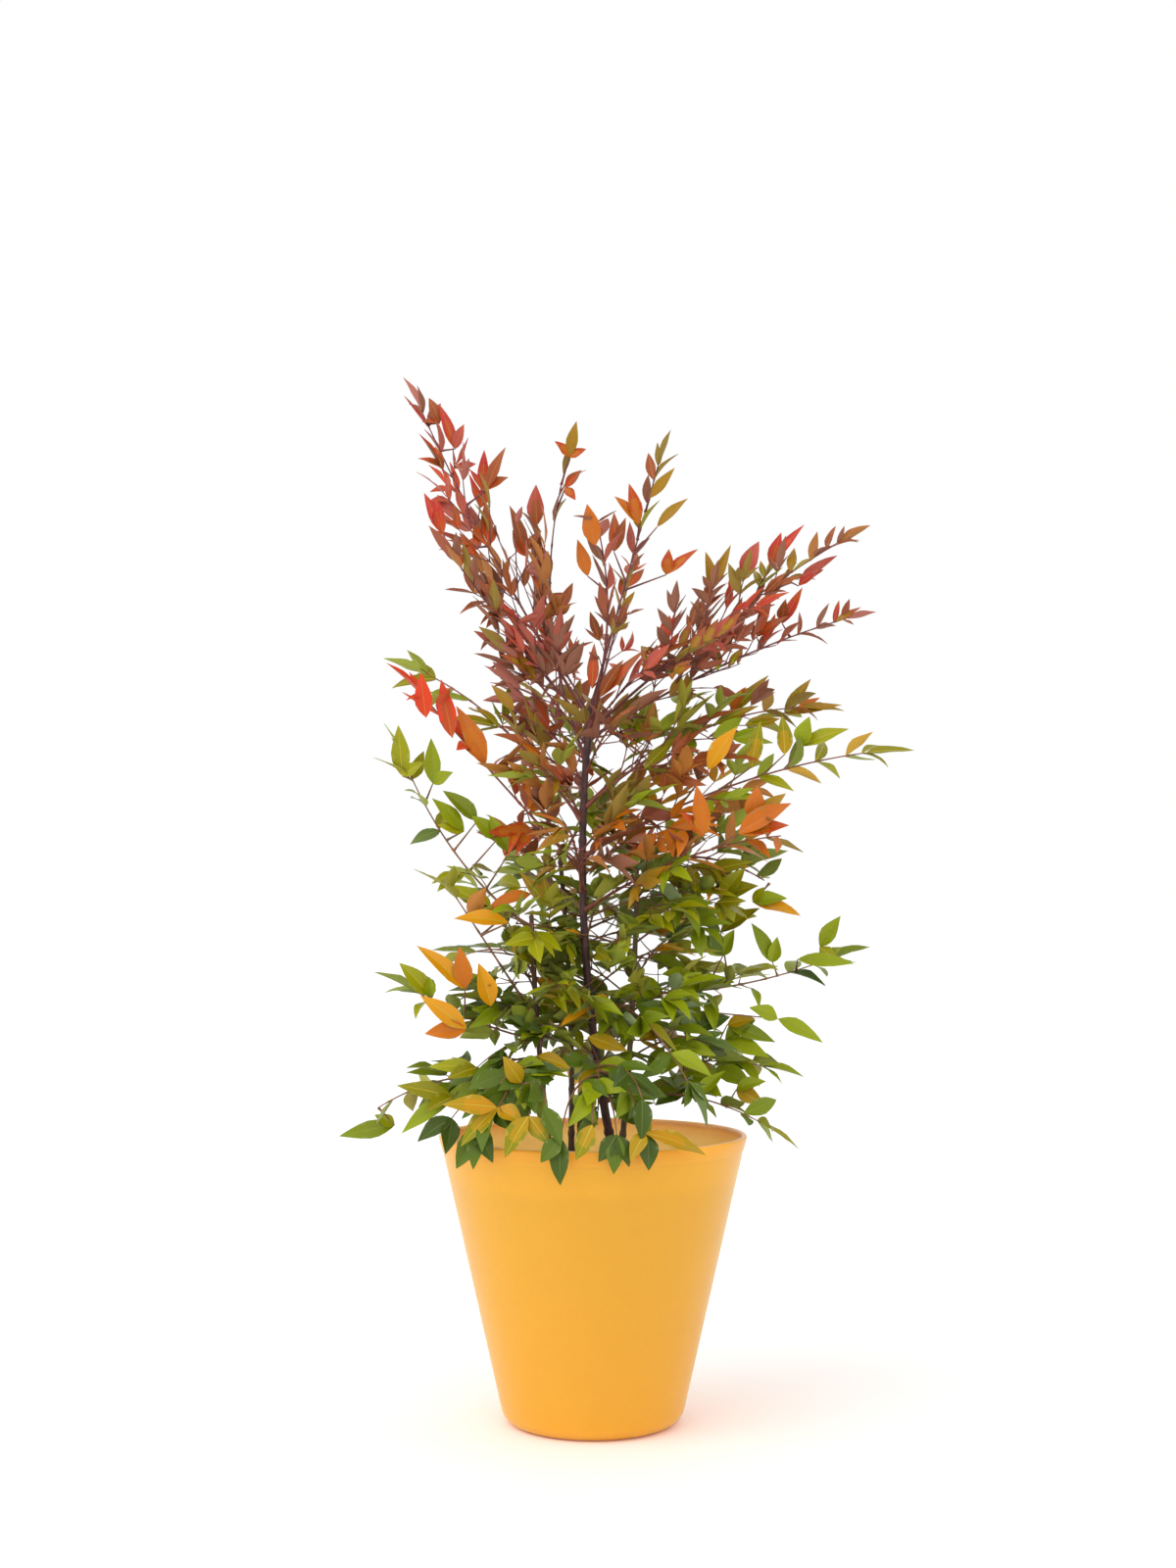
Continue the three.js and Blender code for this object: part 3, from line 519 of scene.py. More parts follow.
# Finishes. roughness: one value, or two that the relief's noise moves it between. mix: scale and detail of
# the noise that mixes two colours (None: one plain colour). ramp: values of that noise between which they
# mix. relief: scale and detail of the noise of the small bumps (None: the mixing noise). depth and strength:
# of the bumps. stretch: how the noises are scaled along each axis, which draws them out into streaks.
PLAIN_FINISH = {"specular": 0.5, "mix": None, "ramp": (0.35, 0.65), "relief": None, "strength": 1,
                "stretch": None}
LEAF_FINISH = {"specular": 0.22, "relief": (450, 2), "depth": 0.0004, "strength": 0.5}
FINISHES = {
    "leaf": {**LEAF_FINISH, "roughness": 0.36},
    "underside": {**LEAF_FINISH, "roughness": 0.6},
    "twig": {"roughness": 0.5, "mix": (120, 2), "relief": (900, 2), "depth": 0.0002, "strength": 0.6},
    "bark": {"roughness": (0.5, 0.8), "mix": (420, 4), "ramp": (0.38, 0.66), "depth": 0.0006, "strength": 0.8,
             "stretch": (1, 1, 0.12)},
    "plastic": {"roughness": (0.3, 0.36), "specular": 0.4, "mix": (90, 3), "relief": (1600, 2),
                "depth": 0.00006, "strength": 0.5},
    "soil": {"roughness": 0.95, "mix": (260, 5), "depth": 0.002},
    "chip": {"roughness": 0.95, "mix": (500, 5), "depth": 0.0006},
    "floor": {"roughness": 0.7, "mix": (3, 2), "relief": (300, 2), "depth": 0.0002, "strength": 0.3},
}


def linear_colour(number):
    """An sRGB number as the linear colour that shaders take."""
    channels = [((number >> shift) & 255) / 255 for shift in (16, 8, 0)]
    return [c / 12.92 if c <= 0.04045 else ((c + 0.055) / 1.055) ** 2.4 for c in channels] + [1]


# ---------------------------------------------------------------------------------------------------------
# Materials.

class NodeMaterial:
    """A node material around one Principled shader, with a finish and one or two colours."""

    def __init__(self, name, finish, *colours):
        rule = {**PLAIN_FINISH, **FINISHES[finish]}
        self.material = bpy.data.materials.new(name)
        self.material.use_nodes = True
        self.tree = self.material.node_tree
        self.shader = self.tree.nodes["Principled BSDF"]
        self.place = self.tree.nodes.new("ShaderNodeTexCoord").outputs["Object"]
        if rule["stretch"]:
            self.place = self.add("ShaderNodeMapping", {"Vector": self.place, "Scale": rule["stretch"]})
        mix = self.noise(*rule["mix"]) if rule["mix"] else None
        relief = self.noise(*rule["relief"]) if rule["relief"] else mix
        colour = linear_colour(colours[0]) if mix is None else self.mixed(mix, colours, rule["ramp"])
        bumps = {"Height": relief, "Distance": rule["depth"], "Strength": rule["strength"]}
        self.set("Base Color", colour)
        self.set("Roughness", self.varied(relief, rule["roughness"]))
        self.set("Specular IOR Level", rule["specular"])
        self.set("Normal", self.add("ShaderNodeBump", bumps))

    def set(self, name, value):
        """Sets an input of the shader, or links it."""
        self.connect(self.shader.inputs[name], value)

    def connect(self, socket, value):
        """Links a socket to another one, or gives it a value."""
        if isinstance(value, bpy.types.NodeSocket):
            self.tree.links.new(value, socket)
        else:
            socket.default_value = value

    def add(self, kind, inputs):
        """Adds a node with some of its inputs, and returns its first output."""
        node = self.tree.nodes.new(kind)
        for name, value in inputs.items():
            self.connect(node.inputs[name], value)
        return node.outputs[0]

    def noise(self, scale, detail):
        return self.add("ShaderNodeTexNoise", {"Scale": scale, "Detail": detail, "Vector": self.place})

    def mixed(self, factor, colours, values):
        """Two colours mixed by a factor, between two of its values."""
        ramp = self.tree.nodes.new("ShaderNodeValToRGB")
        for element, value, colour in zip(ramp.color_ramp.elements, values, colours):
            element.position = value
            element.color = linear_colour(colour)
        self.tree.links.new(factor, ramp.inputs["Fac"])
        return ramp.outputs["Color"]

    def varied(self, factor, value):
        """One value as it is, or two that a factor moves between."""
        if not isinstance(value, tuple):
            return value
        return self.add("ShaderNodeMapRange", {"Value": factor, "To Min": value[0], "To Max": value[1]})


def make_material(name, finish, *colours):
    return NodeMaterial(name, finish, *colours).material


def pot_material(name, colours, glow):
    """Satin moulded plastic that lets light through."""
    plastic = NodeMaterial(name, "plastic", *colours)
    plastic.set("Subsurface Weight", glow)
    plastic.set("Subsurface Radius", POT_GLOW_RADIUS)
    plastic.set("Subsurface Scale", POT_GLOW_DEPTH)
    return plastic.material


UPPER = {tint: make_material(f"leaf_{tint}", "leaf", row[0]) for tint, row in TINTS.items()}
UNDER = {tint: make_material(f"under_{tint}", "underside", row[1]) for tint, row in TINTS.items()}
RIB_MATERIALS = {rib: make_material(f"rib_{rib}", "leaf", colour) for rib, colour in RIBS.items()}
RIB = {tint: RIB_MATERIALS[row[2]] for tint, row in TINTS.items()}
TWIGS = {name: make_material(f"twig_{name}", "twig", *colours) for name, colours in TWIG_COLOURS.items()}


# ---------------------------------------------------------------------------------------------------------
# Shapes.

class Curve:
    """A curve from start to end that stands off its chord by the bow at mid length."""

    def __init__(self, start, end, bow=(0, 0, 0)):
        self.start = Vector(start)
        self.end = Vector(end)
        self.control = (self.start + self.end) / 2 + 2 * Vector(bow)

    def point(self, share):
        rest = 1 - share
        return rest * rest * self.start + 2 * share * rest * self.control + share * share * self.end

    def tangent(self, share):
        way = (1 - share) * (self.control - self.start) + share * (self.end - self.control)
        return way.normalized()

    def points(self, low, high, step):
        """Evenly spaced points between two shares, no further apart than a step."""
        count = max(2, math.ceil((self.point(high) - self.point(low)).length / step))
        return [self.point(low + (high - low) * i / count) for i in range(count + 1)]

    def length(self):
        return distance_along(self.points(0, 1, LENGTH_STEP))[-1]


class Shape:
    """Vertices and faces of one piece, with a material for each face."""

    def __init__(self):
        self.vertices = []
        self.faces = []
        self.face_slots = []
        self.slots = {}

    def add_vertices(self, points):
        """Adds points and returns their numbers."""
        first = len(self.vertices)
        self.vertices.extend(points)
        return list(range(first, len(self.vertices)))

    def add_face(self, corners, material):
        self.faces.append(corners)
        self.face_slots.append(self.slots.setdefault(material, len(self.slots)))

    def add_body(self, rings, start, end, bands):
        """A closed body round rings of points, with a fan of faces at its start and at its end.

        bands has the materials of the strips of each band of faces, from the first fan to the last one. It
        may also be one material for them all.
        """
        if isinstance(bands, bpy.types.Material):
            bands = [[bands] * len(rings[0])] * (len(rings) + 1)
        rings = [self.add_vertices(ring) for ring in rings]
        for ring, other, strips in zip(rings, rings[1:], bands[1:]):
            self.join_rings(ring, other, strips)
        first, last = self.add_vertices([start, end])
        self.close_ring(rings[0], first, bands[0], False)
        self.close_ring(rings[-1], last, bands[-1], True)

    def join_rings(self, ring, other, strips):
        """A band of faces between two rings. Each strip takes its own material."""
        count = len(ring)
        for i in range(count):
            after = (i + 1) % count
            self.add_face((ring[i], ring[after], other[after], other[i]), strips[i])

    def close_ring(self, ring, point, strips, ahead):
        """A fan of faces from a ring to a point ahead of it or behind it."""
        count = len(ring)
        for i in range(count):
            after = (i + 1) % count
            corners = (ring[i], ring[after], point) if ahead else (ring[after], ring[i], point)
            self.add_face(corners, strips[i])

    def piece(self, name, crease):
        """The finished Blender object, smooth apart from edges sharper than the crease angle."""
        mesh = bpy.data.meshes.new(name)
        mesh.from_pydata(self.vertices, [], self.faces)
        for material in self.slots:
            mesh.materials.append(material)
        mesh.polygons.foreach_set("material_index", self.face_slots)
        mesh.shade_smooth()
        mesh.set_sharp_from_angle(angle=math.radians(crease))
        mesh.update()
        return add_object(name, mesh)


def add_object(name, data):
    """Adds an object to the scene."""
    obj = bpy.data.objects.new(name, data)
    bpy.context.scene.collection.objects.link(obj)
    return obj


def place_piece(shape, name, nodes, crease=CREASE):
    """Makes a piece that rides on the frame and stands for its nodes."""
    piece = shape.piece(name, crease)
    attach(piece, BODY)
    if nodes:
        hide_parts(*nodes)


def place_foliage(leaves, twigs, name, slot, nodes):
    """Places leaflets as one piece and their twigs as another."""
    place_piece(leaves, f"leaves_{name}", nodes)
    place_piece(twigs, f"twigs_{name}", nodes)


def circle(radius, count):
    """Evenly spaced points (x, y) on a circle."""
    turns = [2 * math.pi * i / count for i in range(count)]
    return [(radius * math.cos(turn), radius * math.sin(turn)) for turn in turns]


def frames_along(points):
    """Side and normal at each point of a path, carried along without twist."""
    ways = [(b - a).normalized() for a, b in zip(points, points[1:])]
    ways.append(ways[-1])
    side = ways[0].orthogonal().normalized()
    frames = []
    for way in ways:
        side = (side - side.dot(way) * way).normalized()
        frames.append((side, way.cross(side)))
    return frames


def add_tube(shape, points, radii, sides, material):
    """A closed round tube through points, with a radius at each."""
    rings = []
    for point, radius, (side, normal) in zip(points, radii, frames_along(points)):
        rings.append([point + radius * (x * side + y * normal) for x, y in circle(1, sides)])
    shape.add_body(rings, points[0], points[-1], material)


def swelling(distance, places, length):
    """How much a limb swells at a distance along it, from 0 to 1, with a swelling at each place."""
    return min(sum(math.exp(-(((distance - place) / length) ** 2)) for place in places), 1)


def tapered(start, end, distance, total):
    """A radius that goes evenly from a start to an end over a total distance."""
    return start + (end - start) * distance / total


def add_limb(shape, curve, low, high, start_radius, end_radius, joints, material):
    """A tapering round limb along part of a curve, swollen at its joints (given as distances)."""
    points = curve.points(low, high, TUBE_STEP)
    for joint in joints:
        points = with_joint(points, joint)
    distances = distance_along(points)
    radii = []
    for distance in distances:
        radius = tapered(start_radius, end_radius, distance, distances[-1])
        radii.append(radius * (1 + JOINT_SWELL * swelling(distance, joints, JOINT_LENGTH)))
    add_tube(shape, points, radii, TUBE_SIDES, material)


def distance_along(points):
    distances = [0]
    for a, b in zip(points, points[1:]):
        distances.append(distances[-1] + (b - a).length)
    return distances


def with_joint(points, joint):
    """The path with up to three more points across a joint, so that the swelling has a shape."""
    distances = distance_along(points)
    result = list(points)
    for place in (joint + JOINT_LENGTH, joint, joint - JOINT_LENGTH):
        if not distances[0] < place < distances[-1]:
            continue
        after = next(i for i, distance in enumerate(distances) if distance > place)
        span = distances[after] - distances[after - 1]
        share = (place - distances[after - 1]) / span
        if min(share, 1 - share) * span > JOINT_LENGTH / 4:
            result.insert(after, points[after - 1].lerp(points[after], share))
            distances.insert(after, place)
            points = list(result)
    return result


# ---------------------------------------------------------------------------------------------------------
# Leaflets.

def leaf_half_width(share):
    """Half the width of a leaflet at a share of its length, from 0 to 1: wedge-shaped root, long point."""
    if share < LEAF_WIDEST:
        return math.sin(math.pi / 2 * share / LEAF_WIDEST) ** LEAF_ROOT_POWER
    rest = (share - LEAF_WIDEST) / (1 - LEAF_WIDEST)
    return (1 - rest * rest) * (1 - LEAF_POINT * rest)


class Leaflet:
    """Where a leaflet lies: its root, heading and face, and how it is folded, curled and waved."""

    def __init__(self, root, heading, face, length, width, curl, rng):
        self.root = root
        self.side = heading.cross(face).normalized()
        self.heading = heading
        self.length = length
        self.fold = rng.uniform(*LEAF_FOLD)
        self.curl = curl
        self.phase = rng.uniform(0, 2 * math.pi)
        self.width = length * width * rng.uniform(*LEAF_WIDTH_VARIATION)

    def midline(self):
        """Points and ways along the midrib, which curls down towards the tip."""
        shares = (0, *LEAF_STATIONS, 1)
        point = self.root.copy()
        line = [(point.copy(), self.heading)]
        for low, high in zip(shares, shares[1:]):
            way = Quaternion(self.side, -self.curl * (low + high) / 2) @ self.heading
            point += way * self.length * (high - low)
            line.append((point.copy(), way))
        return line

    def add_to(self, shape, tint, edge_tint=None):
        """Adds the blade to a shape."""
        line = self.midline()
        rings = [self.ring(point, way, share) for (point, way), share in zip(line[1:-1], LEAF_STATIONS)]
        inner, edge, rib = UPPER[tint], UPPER[edge_tint or tint], RIB[tint]
        below = [UNDER[tint]] * 4
        root_strips = [inner, inner, rib, inner, inner, *below]
        middle_strips = [edge, inner, rib, inner, edge, *below]
        tip_strips = [edge, edge, rib, edge, edge, *below]
        bands = [root_strips]
        for share in LEAF_STATIONS[:-1]:
            if share < LEAF_EDGE_FROM:
                bands.append(root_strips)
            else:
                bands.append(middle_strips if share < LEAF_TIP_FROM else tip_strips)
        bands.append(tip_strips)
        shape.add_body(rings, line[0][0], line[-1][0], bands)

    def ring(self, point, way, share):
        """The section at a share of the length: six points above from edge to edge, three below."""
        normal = self.side.cross(way)
        half = self.width / 2 * leaf_half_width(share)
        rib = min(RIB_WIDTH / 2 * (RIB_TAPER - share), half / 2) / half
        wave = LEAF_WAVE * half * math.sin(2 * math.pi * LEAF_WAVES * share + self.phase)
        section = []
        for across in (-1, -LEAF_CREST, -rib, rib, LEAF_CREST, 1):
            swell = LEAF_THICKNESS / 2 * (1 - across * across)
            section.append((across, swell))
        for across in (LEAF_BELLY, 0, -LEAF_BELLY):
            swell = -LEAF_THICKNESS / 2 * (1 - across * across)
            section.append((across, swell - (LEAF_KEEL * (1 - share) if across == 0 else 0)))
        points = []
        for across, swell in section:
            rise = abs(across) * half * math.tan(self.fold) + wave * across * abs(across) + swell
            points.append(point + across * half * self.side + rise * normal)
        return points

    def samples(self):
        """Points along the midrib beyond the root, to keep clear of other leaflets."""
        line = self.midline()
        return [line[station][0] for station in SAMPLED_STATIONS]

    def outline(self):
        """Points along the midrib and both edges, to keep clear of limbs and planter."""
        line = self.midline()
        points = [line[-1][0]]
        for (point, _), share in zip(line[2:-1], LEAF_STATIONS[1:]):
            edge = self.width / 2 * leaf_half_width(share) * self.side
            points.extend((point - edge, point, point + edge))
        return points


class Crowd:
    """Remembers where leaflets lie, so that the next one keeps clear of them."""

    def __init__(self, clearance):
        self.clearance = clearance
        self.cells = {}

    def cell(self, point):
        return tuple(math.floor(c / self.clearance) for c in point)

    def add(self, points):
        for point in points:
            self.cells.setdefault(self.cell(point), []).append(point)

    def is_clear(self, points):
        near = (-1, 0, 1)
        for point in points:
            x, y, z = self.cell(point)
            for key in ((x + i, y + j, z + k) for i in near for j in near for k in near):
                if any((point - other).length < self.clearance for other in self.cells.get(key, ())):
                    return False
        return True


# ---------------------------------------------------------------------------------------------------------
# Foliage.

def clears_planter(point):
    """Whether a point lies off the planter's wall and above the soil."""
    reach = math.hypot(point.x, point.y)
    if point.z > POT_HEIGHT + LIMB_CLEARANCE or reach > outer_radius(point.z) + LIMB_CLEARANCE:
        return True
    return reach < inner_radius(point.z) - LIMB_CLEARANCE and point.z > SOIL_TOP + 2 * LIMB_CLEARANCE


def clears_canes(point):
    """Whether a point lies off every cane."""
    for cane in CANES.values():
        if SOIL_TOP < point.z < cane["top"][2]:
            axis = cane_point(cane, point.z)
            if math.hypot(point.x - axis.x, point.y - axis.y) < cane["radius"] + LIMB_CLEARANCE:
                return False
    return True


def clears_gaps(point):
    """Whether a point, seen from the front, hides neither a gap with sky nor the main cane."""
    eye = Vector(CAMERA_PLACE)
    seen = eye + (point - eye) * (eye.y / (eye.y - point.y))
    if point.y < 0 and CANE_VIEW[0] < seen.z < CANE_VIEW[1]:
        if abs(seen.x - cane_point(CANES["main"], seen.z).x) < CANE_VIEW_HALF:
            return False
    return all(math.hypot(seen.x - x, seen.z - z) > radius for x, z, radius in SKY_GAPS)


class Foliage:
    """Grows the foliage of one compound leaf along its line, into shapes of its own unless some are given."""

    def __init__(self, name, level, line, from_share, colourings, seed, crowd, shapes=None):
        self.name = name
        self.level = level
        self.line = line
        self.length = line.length()
        self.from_share = from_share
        self.end = 1 - level["leaf"] / self.length
        self.inner_colouring, self.outer_colouring = colourings
        self.rng = random.Random(seed)
        self.crowd = crowd
        self.leaves, self.twigs = shapes or (Shape(), Shape())
        self.twig_material = TWIGS[level["twig"]]
        self.keeps_gaps = name != GROWS_FREELY
        self.reach = from_share

    def pair_share(self, pair):
        first = self.level["first"]
        return first + (self.end - first) * (pair + FIRST_PAIR) / self.level["pairs"]

    def grow_rachis(self):
        """The rachis, with a joint at each pair. It ends where its last leaflets do."""
        shares = [self.pair_share(pair) for pair in range(self.level["pairs"])]
        joints = [(share - self.from_share) * self.length for share in shares if share > self.from_share]
        if self.reach > self.from_share:
            add_limb(self.twigs, self.line, self.from_share, self.reach, STALK_END_RADIUS, RACHIS_END_RADIUS,
                     joints, self.twig_material)

    def lifted(self, direction, strength):
        """Lifts a direction towards the light, or lets it hang."""
        return (direction + UP * self.level["lift"] * self.rng.uniform(*strength)).normalized()

    def spray_tints(self, outer):
        """Deals one spray its tint and its edge tint, if that differs."""
        colouring = COLOURINGS[self.outer_colouring if outer else self.inner_colouring]
        weights = [row[0] for row in colouring]
        return self.rng.choices(colouring, weights)[0][1:]

    def grow_leaf(self, point, direction, normal, length, tints, roll=LEAF_ROLL):
        """A leaflet. It is turned in its own plane until it is clear, or skipped. Returns whether it grew."""
        heading = self.lifted(direction, LEAF_LIFT)
        face = Quaternion(heading, self.rng.uniform(*roll)) @ normal
        curl = self.rng.uniform(*self.level["curl"])
        return self.add_clear_leaf(point, heading, normal, face, (length, self.level["width"]), curl, tints)

    def grow_last_leaf(self):
        """The last leaflet, which runs straight on to the tip. Returns whether it grew."""
        tangent, normal = self.twisted_frame(self.end, self.level["pairs"])
        root = self.line.point(self.end)
        size = (self.level["leaf"], self.level["width"])
        tints = self.spray_tints(True)
        return self.add_clear_leaf(root, tangent, normal, normal, size, LAST_LEAF_CURL, tints)

    def grow_placed_leaf(self, tip):
        """A leaflet from the end of the line to a given tip, with its face to the front and the light."""
        root = self.line.end
        chord = tip - root
        side = chord.cross(PLACED_FACE).normalized()
        heading = Quaternion(side, PLACED_CURL / 2) @ chord.normalized()
        normal = side.cross(heading)
        face = Quaternion(heading, self.rng.uniform(*PLACED_ROLL)) @ normal
        size = (chord.length, min(PLACED_WIDTH_SHARE, PLACED_GROUPS[self.name]["width"] / chord.length))
        self.add_clear_leaf(root, heading, normal, face, size, PLACED_CURL, self.spray_tints(True))

    def add_clear_leaf(self, point, heading, normal, face, size, curl, tints):
        """Adds a leaflet in the first try that is clear of everything. Returns whether there was one.

        Its size is its length, and its width as a share of that.
        """
        for attempt in TRIES:
            way = Quaternion(normal, attempt) @ heading
            leaflet = Leaflet(point, way, face, *size, curl, self.rng)
            samples = leaflet.samples()
            outline = leaflet.outline()
            is_free = all(clears_planter(place) and clears_canes(place) for place in outline)
            if self.keeps_gaps:
                is_free = is_free and all(clears_gaps(place) for place in outline)
            if is_free and self.crowd.is_clear(samples):
                self.crowd.add(samples)
                leaflet.add_to(self.leaves, *tints)
                return True
        return False

    def grow_pair(self, axis, share, normal, scale, tints):
        """Two opposite leaflets on a twig, rolled towards each other. Returns whether any grew."""
        grown = []
        for hand in (-1, 1):
            turn = Quaternion(normal, hand * self.rng.uniform(*LEAF_SPREAD))
            size = self.level["leaf"] * self.rng.uniform(*scale)
            roll = (hand * PAIR_ROLL[0], hand * PAIR_ROLL[1])
            heading = turn @ axis.tangent(share)
            grown.append(self.grow_leaf(axis.point(share), heading, normal, size, tints, roll))
        return any(grown)

    def grow_trio(self, axis, normal, tints):
        """The last leaflet of a twig and the pair that stands just before it. Returns whether any grew."""
        span = (axis.end - axis.start).length
        has_pair = self.grow_pair(axis, 1 - TRIO_SETBACK / span, normal, self.level["side"], tints)
        size = self.level["leaf"] * self.rng.uniform(*LEAF_SCALE)
        has_last = self.grow_leaf(axis.end, axis.tangent(1), normal, size, tints)
        return has_pair or has_last

    def grow_twig(self, point, direction, normal, span, outer):
        """A side twig with pairs of leaflets, or of forks when it is long, that ends in three leaflets.

        It goes no further than its last leaflets, and is left out when none grow. Returns whether it grew.
        """
        tints = self.spray_tints(outer)
        bow = normal * span * self.rng.uniform(-TWIG_BOW, TWIG_BOW)
        axis = Curve(point, point + direction * span, bow)
        if not all(clears_planter(axis.point(share)) for share in TWIG_CHECKS):
            return False
        count = max(0, int(span / self.level["spacing"] - TWIG_END_ROOM))
        last = 1 - TRIO_SETBACK / span
        shares = [last * (k + 1) / (count + 1) for k in range(count)]
        reach = 0
        for pair, share in enumerate(shares):
            if span > FORKED_SPAN and pair == 0:
                grown = self.grow_forks(axis, share, normal, span * FORK_SHARE, tints)
            else:
                grown = self.grow_pair(axis, share, normal, LEAF_SCALE, tints)
            reach = share if grown else reach
        reach = 1 if self.grow_trio(axis, normal, tints) else reach
        if reach > 0:
            joints = [share * span for share in shares] + [0]
            add_limb(self.twigs, axis, 0, reach, TWIG_RADIUS, TWIG_END_RADIUS, joints, self.twig_material)
        return reach > 0

    def grow_forks(self, axis, share, normal, span, tints):
        """Two opposite short forks on a twig, each with three leaflets. Returns whether any grew."""
        grown = []
        for hand in (-1, 1):
            turn = Quaternion(normal, hand * self.rng.uniform(*LEAF_SPREAD))
            heading = self.lifted(turn @ axis.tangent(share), TWIG_LIFT)
            start = axis.point(share)
            fork = Curve(start, start + heading * span)
            grown.append(self.grow_trio(fork, normal, tints))
            if grown[-1]:
                add_limb(self.twigs, fork, 0, 1, TWIG_RADIUS, TWIG_END_RADIUS, [0], self.twig_material)
        return any(grown)

    def twisted_frame(self, share, pair):
        """Tangent and normal of a pair. The normal leans upwards, turned about the rachis by turns."""
        tangent = self.line.tangent(share)
        side = tangent.cross(UP).normalized()
        twist = self.level["twist"] if pair % 2 == 0 else -self.level["twist"]
        return tangent, Quaternion(tangent, twist) @ side.cross(tangent)

    def grow(self):
        """The pairs along the rachis, shorter towards the tip, and the last three leaflets."""
        level = self.level
        fullness = FULLNESS.get(self.name, 1)
        twigs = min(level["pairs"], round(level["twigs"] * fullness))
        for pair in range(level["pairs"]):
            outer = pair >= level["pairs"] / 2
            span = self.length * level["reach"] * fullness * (1 - pair / (twigs + TWIG_FADE))
            for hand in (-1, 1):
                share = self.pair_share(pair) + hand * STAGGER / 2 / self.length
                tangent, normal = self.twisted_frame(share, pair)
                angle = -hand * level["spread"] * self.rng.uniform(*TWIG_VARIATION)
                heading = self.lifted(Quaternion(normal, angle) @ tangent, TWIG_LIFT)
                point = self.line.point(share)
                if pair < twigs:
                    length = span * self.rng.uniform(*TWIG_VARIATION)
                    grown = self.grow_twig(point, heading, normal, length, outer)
                else:
                    size = level["leaf"] * self.rng.uniform(*LEAF_SCALE)
                    roll = (-hand * PAIR_ROLL[0], -hand * PAIR_ROLL[1])
                    grown = self.grow_leaf(point, heading, normal, size, self.spray_tints(outer), roll)
                if grown:
                    self.reach = max(self.reach, share)
        has_last = self.grow_last_leaf()
        normal = self.twisted_frame(self.end, level["pairs"])[1]
        setback = self.end - TRIO_SETBACK / self.length
        has_pair = self.grow_pair(self.line, setback, normal, level["side"], self.spray_tints(True))
        if has_last or has_pair:
            self.reach = self.end


# ---------------------------------------------------------------------------------------------------------
# Planter and soil.

WALL_SLOPE = (POT_TOP_RADIUS - POT_FOOT_RADIUS) / POT_HEIGHT
WALL_LEAN = math.atan(WALL_SLOPE)
WALL_ACROSS = POT_WALL / math.cos(WALL_LEAN)


def outer_radius(z):
    return POT_FOOT_RADIUS + WALL_SLOPE * z


def inner_radius(z):
    return outer_radius(z) - WALL_ACROSS


def corner_points(radius_at, floor, corner):
    """Points of a rounded corner between a level floor and the leaning wall, from the floor up."""
    turn = math.pi / 2 - WALL_LEAN
    centre = radius_at(floor) - corner * math.tan(turn / 2)
    angles = [turn * step / ARC_STEPS for step in range(ARC_STEPS + 1)]
    return [(centre + corner * math.sin(a), floor + corner * (1 - math.cos(a))) for a in angles]


def make_pot():
    """The planter, turned round the Z axis from the profiles of its outside and its inside."""
    lip_radius = LIP_THICKNESS / 2
    lip_x = POT_TOP_RADIUS - lip_radius
    lip_z = POT_HEIGHT - lip_radius
    angles = [math.pi * step / ARC_STEPS for step in range(ARC_STEPS + 1)]
    lip = [(lip_x + lip_radius * math.cos(a), lip_z + lip_radius * math.sin(a)) for a in angles]
    collar = POT_HEIGHT - COLLAR_DEPTH
    lip_foot = POT_HEIGHT - LIP_DEPTH
    outside = [
        *corner_points(outer_radius, 0, POT_CORNER),
        (outer_radius(collar) - COLLAR_STEP, collar),
        (outer_radius(collar), collar + COLLAR_STEP),
        *lip[:LIP_PAINTED_HIGHLIGHT_FROM],
    ]
    inside = [
        *lip[LIP_PAINTED_HIGHLIGHT_FROM:],
        (POT_TOP_RADIUS - LIP_THICKNESS, lip_foot + LIP_THICKNESS - POT_WALL),
        (inner_radius(lip_foot), lip_foot),
        *reversed(corner_points(inner_radius, POT_FLOOR, POT_INNER_CORNER)),
    ]
    rings = [[Vector((x, y, z)) for x, y in circle(radius, POT_SEGMENTS)] for radius, z in outside + inside]
    outer = pot_material("pot_satin_plastic", POT_COLOURS, POT_GLOW)
    # The inside and the top of the lip take the paler copy: painted light inside the pot and a painted
    # highlight along the lip.
    inner = pot_material("pot_inner_painted_light_plastic", POT_INNER_PAINTED_LIGHT_COLOURS, POT_INNER_GLOW)
    materials = [outer] * len(outside) + [inner] * (len(inside) + 1)
    bands = [[material] * POT_SEGMENTS for material in materials]
    shape = Shape()
    shape.add_body(rings, Vector((0, 0, 0)), Vector((0, 0, POT_FLOOR)), bands)
    place_piece(shape, "planter", ["pot"], POT_CREASE)


def soil_height(x, y):
    """The crumbly surface of the soil, highest round the canes."""
    lumps = noise.fractal(Vector((x, y, 0)) * SOIL_LUMP_SCALE, *SOIL_LUMP_FRACTAL)
    mound = MOUND_HEIGHT * math.exp(-((math.hypot(x, y) / MOUND_RADIUS) ** 2))
    return SOIL_TOP + mound + SOIL_RELIEF * (lumps - SOIL_LUMP_LEVEL)


def make_soil():
    """Potting mix in the pot: a crumbly top above a smooth body."""
    rings = []
    for radius, z in corner_points(inner_radius, POT_FLOOR, POT_INNER_CORNER):
        rings.append([Vector((x, y, z)) for x, y in circle(radius - SOIL_GAP, SOIL_SEGMENTS)])
    rim = inner_radius(SOIL_TOP) - SOIL_GAP
    for step in range(SOIL_RINGS):
        plan = circle(rim * (1 - step / SOIL_RINGS), SOIL_SEGMENTS)
        rings.append([Vector((x, y, soil_height(x, y))) for x, y in plan])
    material = make_material("potting_mix", "soil", *SOIL_COLOURS)
    shape = Shape()
    shape.add_body(rings, Vector((0, 0, POT_FLOOR)), Vector((0, 0, soil_height(0, 0))), material)
    place_piece(shape, "potting_soil", ["soil"], SOIL_CREASE)


